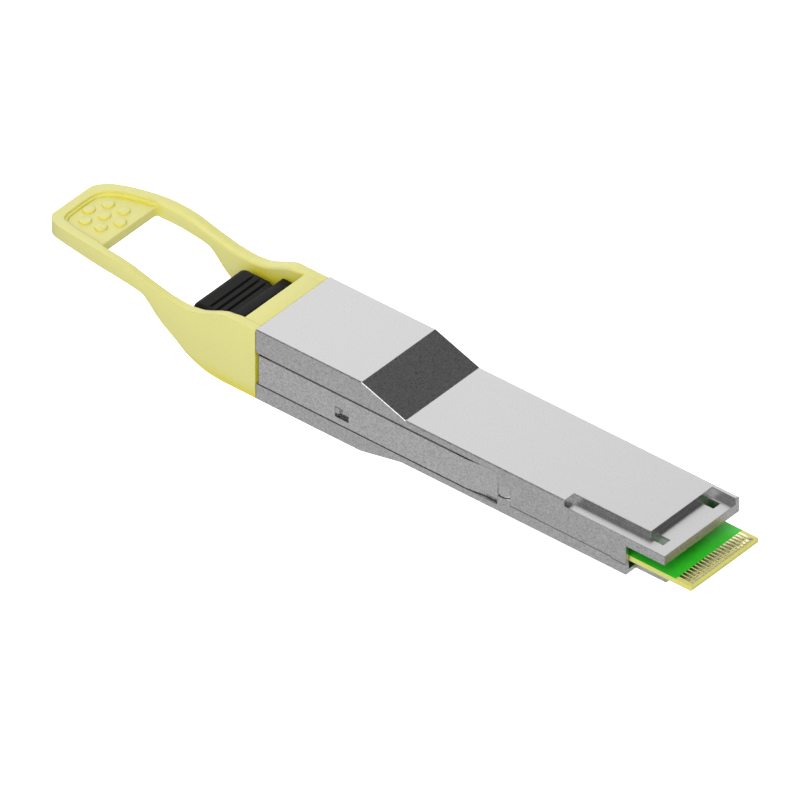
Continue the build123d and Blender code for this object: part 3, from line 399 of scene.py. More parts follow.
def solder_masked_laminate():
    """Glass-epoxy board under green solder mask: glossy on its faces up to the mask's edge, with pale matt
    laminate at the cut edges and between the contact pads."""
    own = settings("transceiver_card")
    low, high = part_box("circuit_board")
    material, tree, shader, place = new_material("solder_masked_glass_epoxy", IOR=1.5, Specular_IOR_Level=0.4)
    axes = add_node(tree, "ShaderNodeSeparateXYZ", links=[("Vector", place, "Object")])
    middle = (low.z + high.z) / 2
    skin = (high.z - low.z) / 2 - 0.03 * MM
    from_middle = add_node(tree, "ShaderNodeMath", operation="SUBTRACT", links=[(0, axes, "Z")],
                           sockets={1: middle})
    height = add_node(tree, "ShaderNodeMath", operation="ABSOLUTE", links=[(0, from_middle, "Value")])
    on_face = add_node(tree, "ShaderNodeMath", operation="GREATER_THAN", links=[(0, height, "Value")],
                       sockets={1: skin})
    behind = add_node(tree, "ShaderNodeMath", operation="LESS_THAN", links=[(0, axes, "X")],
                      sockets={1: high.x - own.mask_end})
    masked = add_node(tree, "ShaderNodeMath", operation="MULTIPLY",
                      links=[(0, on_face, "Value"), (1, behind, "Value")])
    # faint clouds in the mask's thickness, a few millimetres across
    cloud = add_node(tree, "ShaderNodeTexNoise", links=[("Vector", place, "Object")],
                     sockets={"Scale": 1 / (3 * MM), "Detail": 2.0})
    green = add_node(tree, "ShaderNodeValToRGB", links=[("Fac", cloud, "Fac")],
                     stops=spread_stops(own.mask_colour, 0.07, 0.07))
    weave = add_node(tree, "ShaderNodeTexNoise", links=[("Vector", place, "Object")],
                     sockets={"Scale": 1 / (0.25 * MM), "Detail": 3.0})
    bare = add_node(tree, "ShaderNodeValToRGB", links=[("Fac", weave, "Fac")],
                    stops=spread_stops(own.laminate_colour, 0.1, 0.08))
    # the cut edges show the resin, a stronger yellow
    cut, _ = outlined(tree, (bare, "Color"), own.resin_colour, own.resin_width, 0.98, 0.85, 0.85)
    mixed = add_node(tree, "ShaderNodeMix", data_type="RGBA",
                     links=[("Factor", masked, "Value"), (6, *cut), (7, green, "Color")])
    tree.links.new(mixed.outputs[2], shader.inputs["Base Color"])
    rough = add_node(tree, "ShaderNodeMapRange", links=[("Value", masked, "Value")],
                     sockets={"To Min": 0.6, "To Max": 0.32})
    tree.links.new(rough.outputs["Result"], shader.inputs["Roughness"])
    bump = add_node(tree, "ShaderNodeBump", links=[("Height", weave, "Fac")],
                    sockets={"Distance": 0.003 * MM, "Strength": 0.3})
    tree.links.new(bump.outputs["Normal"], shader.inputs["Normal"])
    return material


# Rows of: material, colour, grain in millimetres, spread of the colour, roughness, its spread, other settings
# and the nodes it is on.
PORT_PARTS = (
    # glass-filled nylon, moulded: dark, slightly glossy, with a fine grain from the mould
    ("glass_filled_nylon_moulded", None, 0.18, 0.12, 0.5, 0.06,
     {"depth": 0.006 * MM, "IOR": 1.53, "Specular_IOR_Level": 0.12},
     ("optical_receptacle", "connector_hooks")),
    # polyphenylene sulphide, moulded to a fine finish: dark brown-grey and smooth
    ("polyphenylene_sulphide_moulded", "#3A352F", 0.3, 0.1, 0.35, 0.05, {"IOR": 1.6}, ("ferrule",)),
    # twelve acrylate-coated fibres side by side: glossy, aqua
    ("acrylate_coated_fibre_ribbon", "#37A0B4", 0.25, 0.12, 0.22, 0.04, {"IOR": 1.5}, ("fibre_ribbon",)),
)
BOARD_PARTS = (
    # moulded epoxy packages: charcoal and matt with a fine filler grain
    ("moulded_epoxy_package", "#26272A", 0.12, 0.15, 0.55, 0.08, {"depth": 0.004 * MM, "IOR": 1.55},
     ("optical_engine", "signal_processor", "microcontroller", "power_regulator")),
    # filled silicone gap pad: grey-blue, soft and dull
    ("filled_silicone_gap_pad", "#8E99A8", 0.3, 0.1, 0.75, 0.08, {"depth": 0.01 * MM, "IOR": 1.42},
     ("engine_thermal_pad", "processor_thermal_pad")),
    # sintered ferrite: dark grey, slightly rough
    ("sintered_ferrite", "#3D3D40", 0.15, 0.15, 0.5, 0.08, {"IOR": 1.6}, ("power_inductors",)),
    # fired ceramic chip capacitors: tan and satin
    ("fired_ceramic_capacitor", "#A98A63", 0.2, 0.1, 0.4, 0.06, {"IOR": 1.6}, ("capacitors",)),
    # fused silica, polished: clear with a faint grey
    ("fused_silica_polished", "#E4ECEC", 1.0, 0.02, 0.05, 0.02, {"IOR": 1.46, "Transmission_Weight": 0.9},
     ("fibre_array_block",)),
    # silver-filled silicone foam: dark and dull
    ("silver_filled_silicone_foam", "#3B3C3D", 0.25, 0.25, 0.8, 0.08, {"depth": 0.02 * MM, "IOR": 1.42},
     ("emi_gasket",)),
)


def finish(rows, base=None):
    """Make the materials in rows and give them to their nodes; base is the colour where a row has none."""
    for name, code, grain, spread, rough, rough_spread, more, nodes in rows:
        tone = linear(code) if code else base
        paint(varied(name, tone, grain * MM, spread, rough, rough_spread, **more), *nodes)


def paint(material, *names):
    """Give CAD nodes a material."""
    for name in names:
        NODES[name].data.materials.clear()
        NODES[name].data.materials.append(material)


# ---------------------------------------------------------------- surfaces

def smooth(at, knots):
    """A smooth curve through knots (x, y): a cubic on each span. The slope at a knot is the harmonic mean of
    the neighbouring spans' slopes, or flat where they turn, so the curve never overshoots."""
    x, y = np.array(knots, float).T
    step = np.diff(y) / np.diff(x)
    before, after = step[:-1], step[1:]
    same = before * after > 0
    inner = np.where(same, 2 * before * after / np.where(same, before + after, 1), 0)
    slope = np.concatenate([step[:1], inner, step[-1:]])
    return cubic(np.clip(np.asarray(at, float), x[0], x[-1]), x, y, slope)


def cubic(at, x, y, slope):
    """A curve through values or points y at places x, with a given slope at each: on each span, as t runs
    from 0 to 1, the sum of both ends' values and slopes, weighted by cubics in t."""
    k = np.clip(np.searchsorted(x, at, side="right") - 1, 0, len(x) - 2)
    wide = x[k + 1] - x[k]
    t = (at - x[k]) / wide
    if y.ndim > 1:
        wide, t = wide[:, None], t[:, None]
    return ((2 * t ** 3 - 3 * t ** 2 + 1) * y[k] + (t ** 3 - 2 * t ** 2 + t) * wide * slope[k]
            + (3 * t ** 2 - 2 * t ** 3) * y[k + 1] + (t ** 3 - t ** 2) * wide * slope[k + 1])


def ease(value, start, end):
    """Runs smoothly from 0 at start to 1 at end: 3t squared minus 2t cubed."""
    t = np.clip((value - start) / (end - start), 0, 1)
    return t * t * (3 - 2 * t)


def grid_faces(rows, columns, wrap_rows=False, wrap_columns=False):
    """Corner numbers of the quads of a grid of points."""
    i = np.arange(rows if wrap_rows else rows - 1)
    j = np.arange(columns if wrap_columns else columns - 1)
    i, j = np.meshgrid(i, j, indexing="ij")
    i2, j2 = (i + 1) % rows, (j + 1) % columns
    quads = np.stack([i * columns + j, i2 * columns + j, i2 * columns + j2, i * columns + j2], -1)
    return quads.reshape(-1, 4)


def surface(points, wrap_rows=False, wrap_columns=False, flip=False):
    """A grid of points (rows, columns, 3) as (points, quads)."""
    rows, columns = points.shape[:2]
    faces = grid_faces(rows, columns, wrap_rows, wrap_columns)
    return points.reshape(-1, 3), faces[:, ::-1] if flip else faces


def swept(points):
    """A grid of points whose rows are closed sections, with each end drawn together at its middle."""
    first, last = (np.broadcast_to(points[k].mean(0), points[k].shape)[None] for k in (0, -1))
    return surface(np.concatenate([first, points, last]), wrap_columns=True)


def joined(parts):
    """Several (points, quads) as one."""
    starts = np.cumsum([0] + [len(p) for p, _ in parts[:-1]])
    return (np.concatenate([p for p, _ in parts]),
            np.concatenate([f + start for (_, f), start in zip(parts, starts)]))


def piece(name, parts, material, body, sharp_angle=40.0):
    """Make a mesh object from surfaces, merge the points at seams and poles, and let it ride on a body."""
    points, faces = joined(parts)
    mesh = bpy.data.meshes.new(name)
    mesh.vertices.add(len(points))
    mesh.vertices.foreach_set("co", points.astype(np.float32).ravel())
    mesh.loops.add(faces.size)
    mesh.loops.foreach_set("vertex_index", faces.astype(np.int32).ravel())
    mesh.polygons.add(len(faces))
    mesh.polygons.foreach_set("loop_start", np.arange(0, faces.size, 4, dtype=np.int32))
    mesh.update(calc_edges=True)
    mesh.validate()
    merge_seams(mesh)
    mesh.polygons.foreach_set("use_smooth", np.ones(len(mesh.polygons), bool))
    mesh.set_sharp_from_angle(angle=np.radians(sharp_angle))
    mesh.materials.append(material)
    thing = bpy.data.objects.new(name, mesh)
    bpy.context.scene.collection.objects.link(thing)
    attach(thing, body)
    return thing


def merge_seams(mesh):
    """Merge points closer than 0.01 micrometres, drop faces with no area, and turn faces outwards."""
    work = bmesh.new()
    work.from_mesh(mesh)
    bmesh.ops.remove_doubles(work, verts=work.verts, dist=1e-8)
    bmesh.ops.dissolve_degenerate(work, edges=work.edges, dist=1e-8)
    bmesh.ops.recalc_face_normals(work, faces=work.faces)
    work.to_mesh(mesh)
    work.free()
    mesh.update()


def arc(centre, radius, start, end, count=6):
    """Points on a circle's arc between two angles in degrees; centre and radius may be arrays."""
    turn = np.radians(np.linspace(start, end, count))
    cx, cy = (np.asarray(c, float)[..., None] for c in centre)
    radius = np.asarray(radius, float)[..., None]
    return cx + radius * np.cos(turn), cy + radius * np.sin(turn)


def rounded_box(low, high, radius, count=5):
    """A box with rounded edges: a sphere's eight octants moved apart to the corners.
    Each point is its corner's centre plus the radius times a direction on the sphere."""
    low, high = np.array(low, float), np.array(high, float)
    half, centre = (high - low) / 2, (high + low) / 2
    quarter = np.linspace(0, np.pi / 2, count)
    around = np.concatenate([quarter + k * np.pi / 2 for k in range(4)])
    sign_x = np.repeat([1, -1, -1, 1], count)
    sign_y = np.repeat([1, 1, -1, -1], count)
    tilt = np.concatenate([quarter - np.pi / 2, quarter])
    sign_z = np.repeat([-1, 1], count)
    a, t = np.meshgrid(around, tilt, indexing="ij")
    normal = np.stack([np.cos(t) * np.cos(a), np.cos(t) * np.sin(a), np.sin(t)], -1)
    signs = np.stack([np.broadcast_to(sign_x[:, None], a.shape), np.broadcast_to(sign_y[:, None], a.shape),
                      np.broadcast_to(sign_z[None, :], a.shape)], -1)
    body = surface(centre + signs * (half - radius) + radius * normal, wrap_rows=True)
    # the flat ends that the poles leave open
    ends = []
    for z, sign in ((low[2], -1), (high[2], 1)):
        inner = half[:2] - radius
        corner = np.array([[[-1, -1], [1, -1]], [[-1, 1], [1, 1]]]) * inner + centre[:2]
        ends.append(surface(np.dstack([corner, np.full((2, 2), z)]), flip=sign < 0))
    return joined([body] + ends)


# ---------------------------------------------------------------- pull tab

class TabShape:
    """The pull tab's outline as functions: its top, its underside and its plan."""

    def __init__(self):
        self.own = settings("transceiver_tab")
        low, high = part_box("pull_tab")
        shell_low, shell_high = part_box("top_shell")
        self.back = shell_low.x
        self.front, self.tip = high.x, low.x
        self.half = high.y
        self.bottom = low.z
        self.collar_top = shell_high.z - self.own.collar_drop

    def top(self, x):
        """Height of the top: the collar's height less a share of the dip."""
        return self.collar_top - smooth((self.back - x) / MM, TAB_TOP) * self.own.dip

    def under(self, x):
        """Height of the underside: the lowest height plus a share of the rise."""
        return self.bottom + smooth((self.back - x) / MM, TAB_LOW) * self.own.rise

    def past_opening(self, x, start, end):
        """Runs from 0 to 1 between two distances, in millimetres, past the end of the finger opening."""
        return ease(self.back - x, self.own.opening_end + start * MM, self.own.opening_end + end * MM)

    def path(self, count=150, tip_count=16):
        """The outer edge in plan, from one end round the tip to the other, with its inward direction.
        The half-width falls smoothly along the grip; near the tip both come from a curve through points
        evenly numbered along their chord."""
        knots = [(self.back - d * MM, self.half - inset * MM) for d, inset in TAB_PLAN]
        knots += [(self.tip, self.half - inset * MM) for inset in TAB_TIP]
        knots = np.array(knots)
        chord = np.concatenate([[0], np.cumsum(np.hypot(*np.diff(knots, axis=0).T))])
        run = np.linspace(0, chord[-1], count)
        slope = np.gradient(knots, chord, axis=0)
        slope[0] = (-1, 0)
        slope[-1] = slope[-2] = (0, -1)
        curve = cubic(run, chord, knots, slope)
        straight = np.linspace(self.front, knots[0, 0], count // 2, endpoint=False)
        side = np.concatenate([np.stack([straight, np.full(len(straight), self.half)], 1), curve])
        across = np.linspace(side[-1, 1], 0, tip_count + 1)[1:]
        side = np.concatenate([side, np.stack([np.full(tip_count, self.tip), across], 1)])
        far = side * (1, -1)
        whole = np.concatenate([side, far[-2::-1]])
        along = np.gradient(whole, axis=0)
        along /= np.linalg.norm(along, axis=1)[:, None]
        inward = np.stack([-along[:, 1], along[:, 0]], 1)
        inward[:2] = (0, -1)
        inward[-2:] = (0, 1)
        return whole, inward

    def half_at(self, x):
        """Half the tab's width at a station along the grip."""
        whole, _ = self.path()
        half = whole[:len(whole) // 2 + 1]
        order = np.argsort(half[:, 0])
        return np.interp(x, half[order, 0], half[order, 1])


def tab_band(shape):
    """The band that runs along one arm, round the tip and back along the other arm.
    Its section is a rectangle with rounded corners, from the underside to the top, carried along the plan's
    outer edge; both ends close on a rounded face."""
    own = shape.own
    path, inward = shape.path()
    keep = path[:, 0] < shape.front - own.outer_round * 1.05
    path, inward = path[keep], inward[keep]
    # the stations of the rounded ends come before and after the run, at the shells' side
    shrink = own.outer_round * (1 - np.array([0.0, 0.12, 0.5, 1.0]))
    x_end = shape.front - own.outer_round + np.sqrt(own.outer_round ** 2 - shrink ** 2)
    first = np.stack([x_end, np.full(4, path[0, 1])], 1)
    last = np.stack([x_end[::-1], np.full(4, path[-1, 1])], 1)
    shrink = np.concatenate([shrink, np.zeros(len(path)), shrink[::-1]])[:, None]
    path = np.concatenate([first, path, last])
    inward = np.concatenate([np.tile(inward[0], (4, 1)), inward, np.tile(inward[-1], (4, 1))])
    x = path[:, 0]
    grip = shape.past_opening(x, -1.6, 1.2)
    wide = own.arm_width + (own.rim_width - own.arm_width) * grip
    z_top, z_low = shape.top(x), shape.under(x)
    collar = ease(shape.back - x, own.collar_length, own.collar_length + 2.5 * MM)
    inner = own.outer_round + (own.inner_round - own.outer_round) * collar
    inner = inner + (own.rim_round - inner) * grip
    outer = np.full(len(x), own.outer_round)
    parts = [arc((outer, z_low + outer), outer, 270, 180), arc((outer, z_top - outer), outer, 180, 90),
             arc((wide - inner, z_top - inner), inner, 90, 0),
             arc((wide - outer, z_low + outer), outer, 0, -90)]
    depth = np.concatenate([p[0] for p in parts], 1)
    height = np.concatenate([p[1] for p in parts], 1)
    centre = wide[:, None] / 2
    depth = centre + (depth - centre) * (1 - shrink / centre)
    middle = ((z_top + z_low) / 2)[:, None]
    height = middle + (height - middle) * (1 - shrink / ((z_top - z_low) / 2)[:, None])
    points = np.dstack([carried(shape, path, inward, wide, depth), height])
    return swept(points)


def carried(shape, path, inward, wide, depth):
    """Points in plan at depths inside the outer edge. The inner edge, at the depth wide, is the mean of its
    own points weighted by a bell curve along the path, so its corners at the tip come out round."""
    own = shape.own
    inner = path + inward * wide[:, None]
    along = np.concatenate([[0], np.cumsum(np.hypot(*np.diff(path, axis=0).T))])
    weight = np.exp(-((along[:, None] - along) / own.corner_blend) ** 2 / 2)
    blended = weight @ inner / weight.sum(1)[:, None]
    near_tip = shape.past_opening(path[:, 0], 2, 6)[:, None]
    reach = (inner + (blended - inner) * near_tip - path) / wide[:, None]
    return path[:, None, :] + reach[:, None, :] * depth[..., None]


def tab_step(shape):
    """The step inside the rim: a low rounded ledge carried along the same path, which sinks into the arms."""
    own = shape.own
    path, inward = shape.path()
    keep = shape.back - path[:, 0] > own.opening_end - 1.6 * MM
    path, inward = path[keep], inward[keep]
    x = path[:, 0]
    grown = shape.past_opening(x, -1.2, 1.4)
    # the ledge starts inside the rim, well under its surface, and stands on the panel
    hidden = 0.4 * MM
    reach = own.rim_width - hidden + (own.step_width + hidden) * grown
    top = shape.top(x) - own.step_depth - 0.1 * MM * (1 - grown)
    low = shape.top(x) - own.recess - hidden
    radius = np.full(len(x), own.step_round)
    start = np.full(len(x), own.rim_width - 1.5 * hidden)
    bend = arc((reach - radius, top - radius), radius, 90, 0, 5)
    depth = np.concatenate([start[:, None], bend[0], reach[:, None], start[:, None]], 1)
    height = np.concatenate([top[:, None], bend[1], low[:, None], low[:, None]], 1)
    wide = np.full(len(x), own.rim_width)
    return swept(np.dstack([carried(shape, path, inward, wide, depth), height]))


def tab_panel(shape):
    """The recessed panel of the grip: its top follows the arched top a recess lower, its front edge is round
    and curves out into the arms as a quarter circle, and its underside follows the tab's."""
    own = shape.own
    bend, edge, under = own.opening_bend, own.panel_round, own.panel_under
    inner_half = shape.half - own.arm_width
    # the panel's edges end inside the band: this far past the arms' inner faces, and short of the outer ones
    past_arm, past_rim, short = 0.25 * MM, 0.9 * MM, 0.7 * MM
    across = -np.cos(np.linspace(0, np.pi, 61))
    over = np.clip((np.abs(across * (inner_half + past_arm)) - (inner_half - bend)) / bend, 0, 1)
    front = (shape.back - own.opening_end + bend * (1 - np.sqrt(np.maximum(1 - over ** 2, 0))))[:, None]
    run = ease(np.linspace(1, 0, 40), 0, 1)
    end = shape.tip + past_rim
    turn = np.radians(np.linspace(90, 0, 6))
    x = np.concatenate([
        front - edge + (end - (front - edge)) * run, front - edge + edge * np.cos(turn),
        front - under + under * np.cos(-turn[::-1]), front - under + (end - (front - under)) * run[::-1]], 1)
    drop = np.concatenate([np.zeros(len(run)), edge * (1 - np.sin(turn))])
    lift = np.concatenate([under * (1 + np.sin(-turn[::-1])), np.zeros(len(run))])
    n_top = len(drop)
    z = np.concatenate([(shape.top(x) - own.recess)[:, :n_top] - drop, shape.under(x)[:, n_top:] + lift], 1)
    y = across[:, None] * np.minimum(shape.half_at(x) - short, inner_half + past_rim)
    return surface(np.dstack([x, y, z]), wrap_columns=True)


def tab_collar(shape):
    """The bar of the collar between the arms, a box with rounded edges that reaches into both."""
    own = shape.own
    half = shape.half - own.arm_width + 0.3 * MM
    low = (shape.back - own.collar_length, -half, shape.collar_top - own.collar_thickness)
    return rounded_box(low, (shape.front, half, shape.collar_top), own.collar_round)


def tab_pips(shape):
    """Seven round pips in a hexagon: each is a flat top with a rounded shoulder, turned round its axis, and
    its foot is below the panel's surface."""
    own = shape.own
    spin = np.radians(np.arange(6) * 60)
    ring = own.pip_pitch * np.stack([np.cos(spin), np.sin(spin)], 1)
    centres = np.concatenate([[[0, 0]], ring]) + (shape.tip + own.pips_from_tip, 0)
    bend = np.radians(np.linspace(0, 90, 6))
    flat, foot = own.pip_height - own.pip_round, -0.2 * MM
    radii = np.concatenate([[own.pip_radius], own.pip_radius - own.pip_round * (1 - np.cos(bend)), [0.0]])
    rise = np.concatenate([[foot], flat + own.pip_round * np.sin(bend), [own.pip_height]])
    around = np.linspace(0, 2 * np.pi, 40, endpoint=False)
    parts = []
    for centre in centres:
        x = centre[0] + radii[:, None] * np.cos(around)
        y = centre[1] + radii[:, None] * np.sin(around)
        parts.append(surface(np.dstack([x, y, shape.top(x) - own.recess + rise[:, None]]), wrap_columns=True))
    return parts


# ---------------------------------------------------------------- dust plug

def plug_grip(low, high):
    """The plug's grip: a side profile with a round far end and grooves above and below, carried across the
    width. Towards each side the profile shrinks by a quarter circle's rise, so the sides are round too, the
    grooves fade out before them, and the width narrows to a waist at the flange."""
    own = settings("transceiver_plug")
    end_r, side_r = own.end_round, own.side_round
    run = np.linspace(low[0] + end_r, high[0], 180)
    # three grooves, each a rounded trench whose depth falls off as exp(-d^4), d the distance from its middle
    # over a little more than half its width
    middles = low[0] + own.groove_first + own.groove_pitch * np.arange(3)[:, None]
    trench = np.exp(-((run - middles) / (own.groove_width * 0.55)) ** 4).sum(0)
    middle, half_z = (low[2] + high[2]) / 2, (high[2] - low[2]) / 2
    turn = np.radians(np.linspace(270, 90, 31))
    end_z = (half_z - end_r) * np.sign(np.round(np.sin(turn), 6)) + end_r * np.sin(turn)
    x = np.concatenate([low[0] + end_r + end_r * np.cos(turn), run[1:], run[::-1][:-1]])
    z = np.concatenate([end_z, np.full(179, half_z), np.full(179, -half_z)])
    cut = np.concatenate([0 * turn, trench[1:], trench[::-1][:-1]]) * own.groove_depth
    bend = np.radians(np.linspace(0, 90, 10))
    half_y = (high[1] - low[1]) / 2
    across = half_y - side_r + side_r * np.sin(bend)
    inner = np.linspace(-(half_y - side_r), half_y - side_r, 25)[1:-1]
    y = np.concatenate([-across[::-1], inner, across])
    drawn_in = side_r * (1 - np.cos(bend))
    inset = np.concatenate([drawn_in[::-1], 0 * inner, drawn_in])[:, None]
    fade = 1 - ease(np.abs(y), half_y - 1.5 * side_r, half_y - 0.9 * side_r)[:, None]
    level = np.abs(z) / half_z
    return swept(np.dstack([
        x + inset * (1 - ease(x - low[0], 0, 3 * end_r)),
        y[:, None] * (1 - own.waist / half_y * (1 - ease(high[0] - x, 0, own.waist_length))),
        middle + np.sign(z) * (np.abs(z) - inset * level - cut * fade)]))


def plug_body():
    """The plug: its flange and core as rounded boxes, and its grip, each reaching a little into the next."""
    own = settings("transceiver_plug")
    low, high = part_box("dust_plug")
    port_low, port_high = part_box("optical_receptacle")
    front = port_low.x - own.port_gap
    back = front - own.flange
    middle = (port_low.z + port_high.z) / 2
    core_y, core_z = own.core_width / 2, own.core_height / 2
    grip_y, grip_z = own.grip_width / 2, own.grip_height / 2
    return [rounded_box((back, low.y, low.z), (front, high.y, high.z), own.edge_round),
            plug_grip((low.x, -grip_y, middle - grip_z), (back + 0.15 * MM, grip_y, middle + grip_z)),
            rounded_box((front - 0.5 * MM, -core_y, middle - core_z), (high.x, core_y, middle + core_z),
                        own.edge_round)]


# ---------------------------------------------------------------- operators

class TRANSCEIVER_OT_shells(bpy.types.Operator):
    """Finish the two cast shells"""
    bl_idname = "transceiver.shells"
    bl_label = "Cast shells"

    def execute(self, context):
        paint(plated_zinc_casting(), "top_shell", "bottom_shell")
        return {"FINISHED"}


class TRANSCEIVER_OT_fasteners(bpy.types.Operator):
    """Finish the screws, the guide pins, their clamp and the crystal's can"""
    bl_idname = "transceiver.fasteners"
    bl_label = "Screws and pins"

    def execute(self, context):
        # austenitic stainless steel, turned and headed: small and bright
        steel = stainless("stainless_steel_turned", 0.12 * MM, 1.0)
        paint(steel, "case_screws", "guide_pins", "pin_clamp", "clock_crystal")
        return {"FINISHED"}


class TRANSCEIVER_OT_latch(bpy.types.Operator):
    """Finish the slider and wind its two return springs"""
    bl_idname = "transceiver.latch"
    bl_label = "Slider and springs"

    def execute(self, context):
        # austenitic stainless steel sheet, stamped and tumbled: the same even grain as the castings
        metal = settings("transceiver_metal")
        paint(stainless("stainless_steel_stamped_sheet", metal.cast_grain, 0.8, metal.cast_spread),
              "latch_slider")
        # stainless spring steel, drawn: fine streaks along the wire
        wire = stainless("stainless_spring_wire_drawn", 0.1 * MM, 0.04)
        for node in ("left_return_spring", "right_return_spring"):
            low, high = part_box(node)
            coil = piece(node + "_coil", [coil_surface(low, high)], wire, "housing")
            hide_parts(node)
            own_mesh(coil)
        return {"FINISHED"}


def coil_surface(low, high):
    """A round wire along a helix: the helix turns round the X axis of its box while it moves along X, its
    first and last turns closing up, and the wire's circle stands square to the helix at each point."""
    own = settings("transceiver_springs")
    wire = own.wire / 2
    radius = (high.z - low.z) / 2 - wire
    t = np.linspace(0, 1, own.turns * 28)
    # the pitch starts and ends small: the advance is the turn's share less a sine of it
    closed_up, end = 0.035, 1.2 * wire
    advance = t - closed_up * np.sin(2 * np.pi * t) * np.cos(np.pi * t) ** 2
    turn = 2 * np.pi * own.turns * t
    line = np.stack([low.x + end + (high.x - low.x - 2 * end) * advance,
                     (low.y + high.y) / 2 + radius * np.cos(turn),
                     (low.z + high.z) / 2 + radius * np.sin(turn)], 1)
    along = np.gradient(line, axis=0)
    along /= np.linalg.norm(along, axis=1)[:, None]
    side = np.cross(along, np.stack([0 * t, np.cos(turn), np.sin(turn)], 1))
    side /= np.linalg.norm(side, axis=1)[:, None]
    spin = np.linspace(0, 2 * np.pi, 10, endpoint=False)[None, :, None]
    circle = np.cross(side, along)[:, None] * np.cos(spin) + side[:, None] * np.sin(spin)
    return swept(line[:, None] + wire * circle)


class TRANSCEIVER_OT_pull_tab(bpy.types.Operator):
    """Mould the pull tab: band, step, recessed panel, collar and pips"""
    bl_idname = "transceiver.pull_tab"
    bl_label = "Pull tab"

    def execute(self, context):
        shape = TabShape()
        plastic = moulded_tab_plastic()
        loop = piece("pull_tab_loop", [tab_band(shape)], plastic, "latch")
        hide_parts("pull_tab")
        panel = piece("pull_tab_grip", [tab_panel(shape), tab_step(shape)], plastic, "latch")
        collar = piece("pull_tab_collar", [tab_collar(shape)], plastic, "latch")
        pips = piece("pull_tab_pips", tab_pips(shape), plastic, "latch")
        return {"FINISHED"}


class TRANSCEIVER_OT_port(bpy.types.Operator):
    """Finish the optical port with its hooks, ferrule and ribbon"""
    bl_idname = "transceiver.port"
    bl_label = "Optical port"

    def execute(self, context):
        finish(PORT_PARTS, settings("transceiver_plug").port_colour)
        return {"FINISHED"}


class TRANSCEIVER_OT_dust_plug(bpy.types.Operator):
    """Mould the dust plug: flange, core and grooved grip"""
    bl_idname = "transceiver.dust_plug"
    bl_label = "Dust plug"

    def execute(self, context):
        # thermoplastic rubber, moulded: near black with a soft sheen
        rubber = varied("thermoplastic_rubber_moulded", settings("transceiver_plug").plug_colour, 0.2 * MM,
                        0.14, 0.5, 0.06, depth=0.006 * MM, IOR=1.5, Specular_IOR_Level=0.12)
        plug = piece("dust_plug_body", plug_body(), rubber, "plug")
        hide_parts("dust_plug")
        return {"FINISHED"}


class TRANSCEIVER_OT_card(bpy.types.Operator):
    """Finish the circuit board and lay the contact pads"""
    bl_idname = "transceiver.card"
    bl_label = "Card edge"

    def execute(self, context):
        own = settings("transceiver_card")
        paint(solder_masked_laminate(), "circuit_board")
        metal = settings("transceiver_metal")
        # hard gold over nickel, plated: bright, with faint wipe marks along X
        gold = varied("hard_gold_plating_over_nickel", metal.gold_colour, 0.15 * MM, 0.12, 0.3, 0.06,
                      depth=0.002 * MM, stretch=0.15, Metallic=1.0)
        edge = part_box("circuit_board")[1].x
        for node in ("top_contacts", "bottom_contacts"):
            low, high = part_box(node)
            pads = piece(node + "_plated", contact_pads(own, edge, low.z, high.z), gold, "housing")
            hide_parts(node)
        paint(gold, "laser_modules")
        return {"FINISHED"}


def contact_pads(own, edge, low_z, high_z):
    """Two rows of thin rounded pads. Some positions are split further forward, as ground contacts meet first,
    and the last position is one full-length pad."""
    front_end = edge - own.front_start
    rear_end = front_end - own.front_length - own.split - own.rear_length
    parts = []
    for k in range(PAD_COUNT):
        left = (k - (PAD_COUNT - 1) / 2) * own.pad_pitch - own.pad_width / 2
        split = front_end - own.front_length + (own.ground_lead if k % GROUND_STEP == 0 else 0)
        runs = [(split, front_end), (rear_end, split - own.split)]
        if k == PAD_COUNT - 1:
            runs = [(rear_end, front_end)]
        right = left + own.pad_width
        parts += [rounded_box((a, left, low_z), (b, right, high_z), own.pad_round, 3) for a, b in runs]
    return parts


class TRANSCEIVER_OT_board_parts(bpy.types.Operator):
    """Finish the chips, thermal pads, gasket and small parts inside"""
    bl_idname = "transceiver.board_parts"
    bl_label = "Parts inside"

    def execute(self, context):
        finish(BOARD_PARTS)
        return {"FINISHED"}


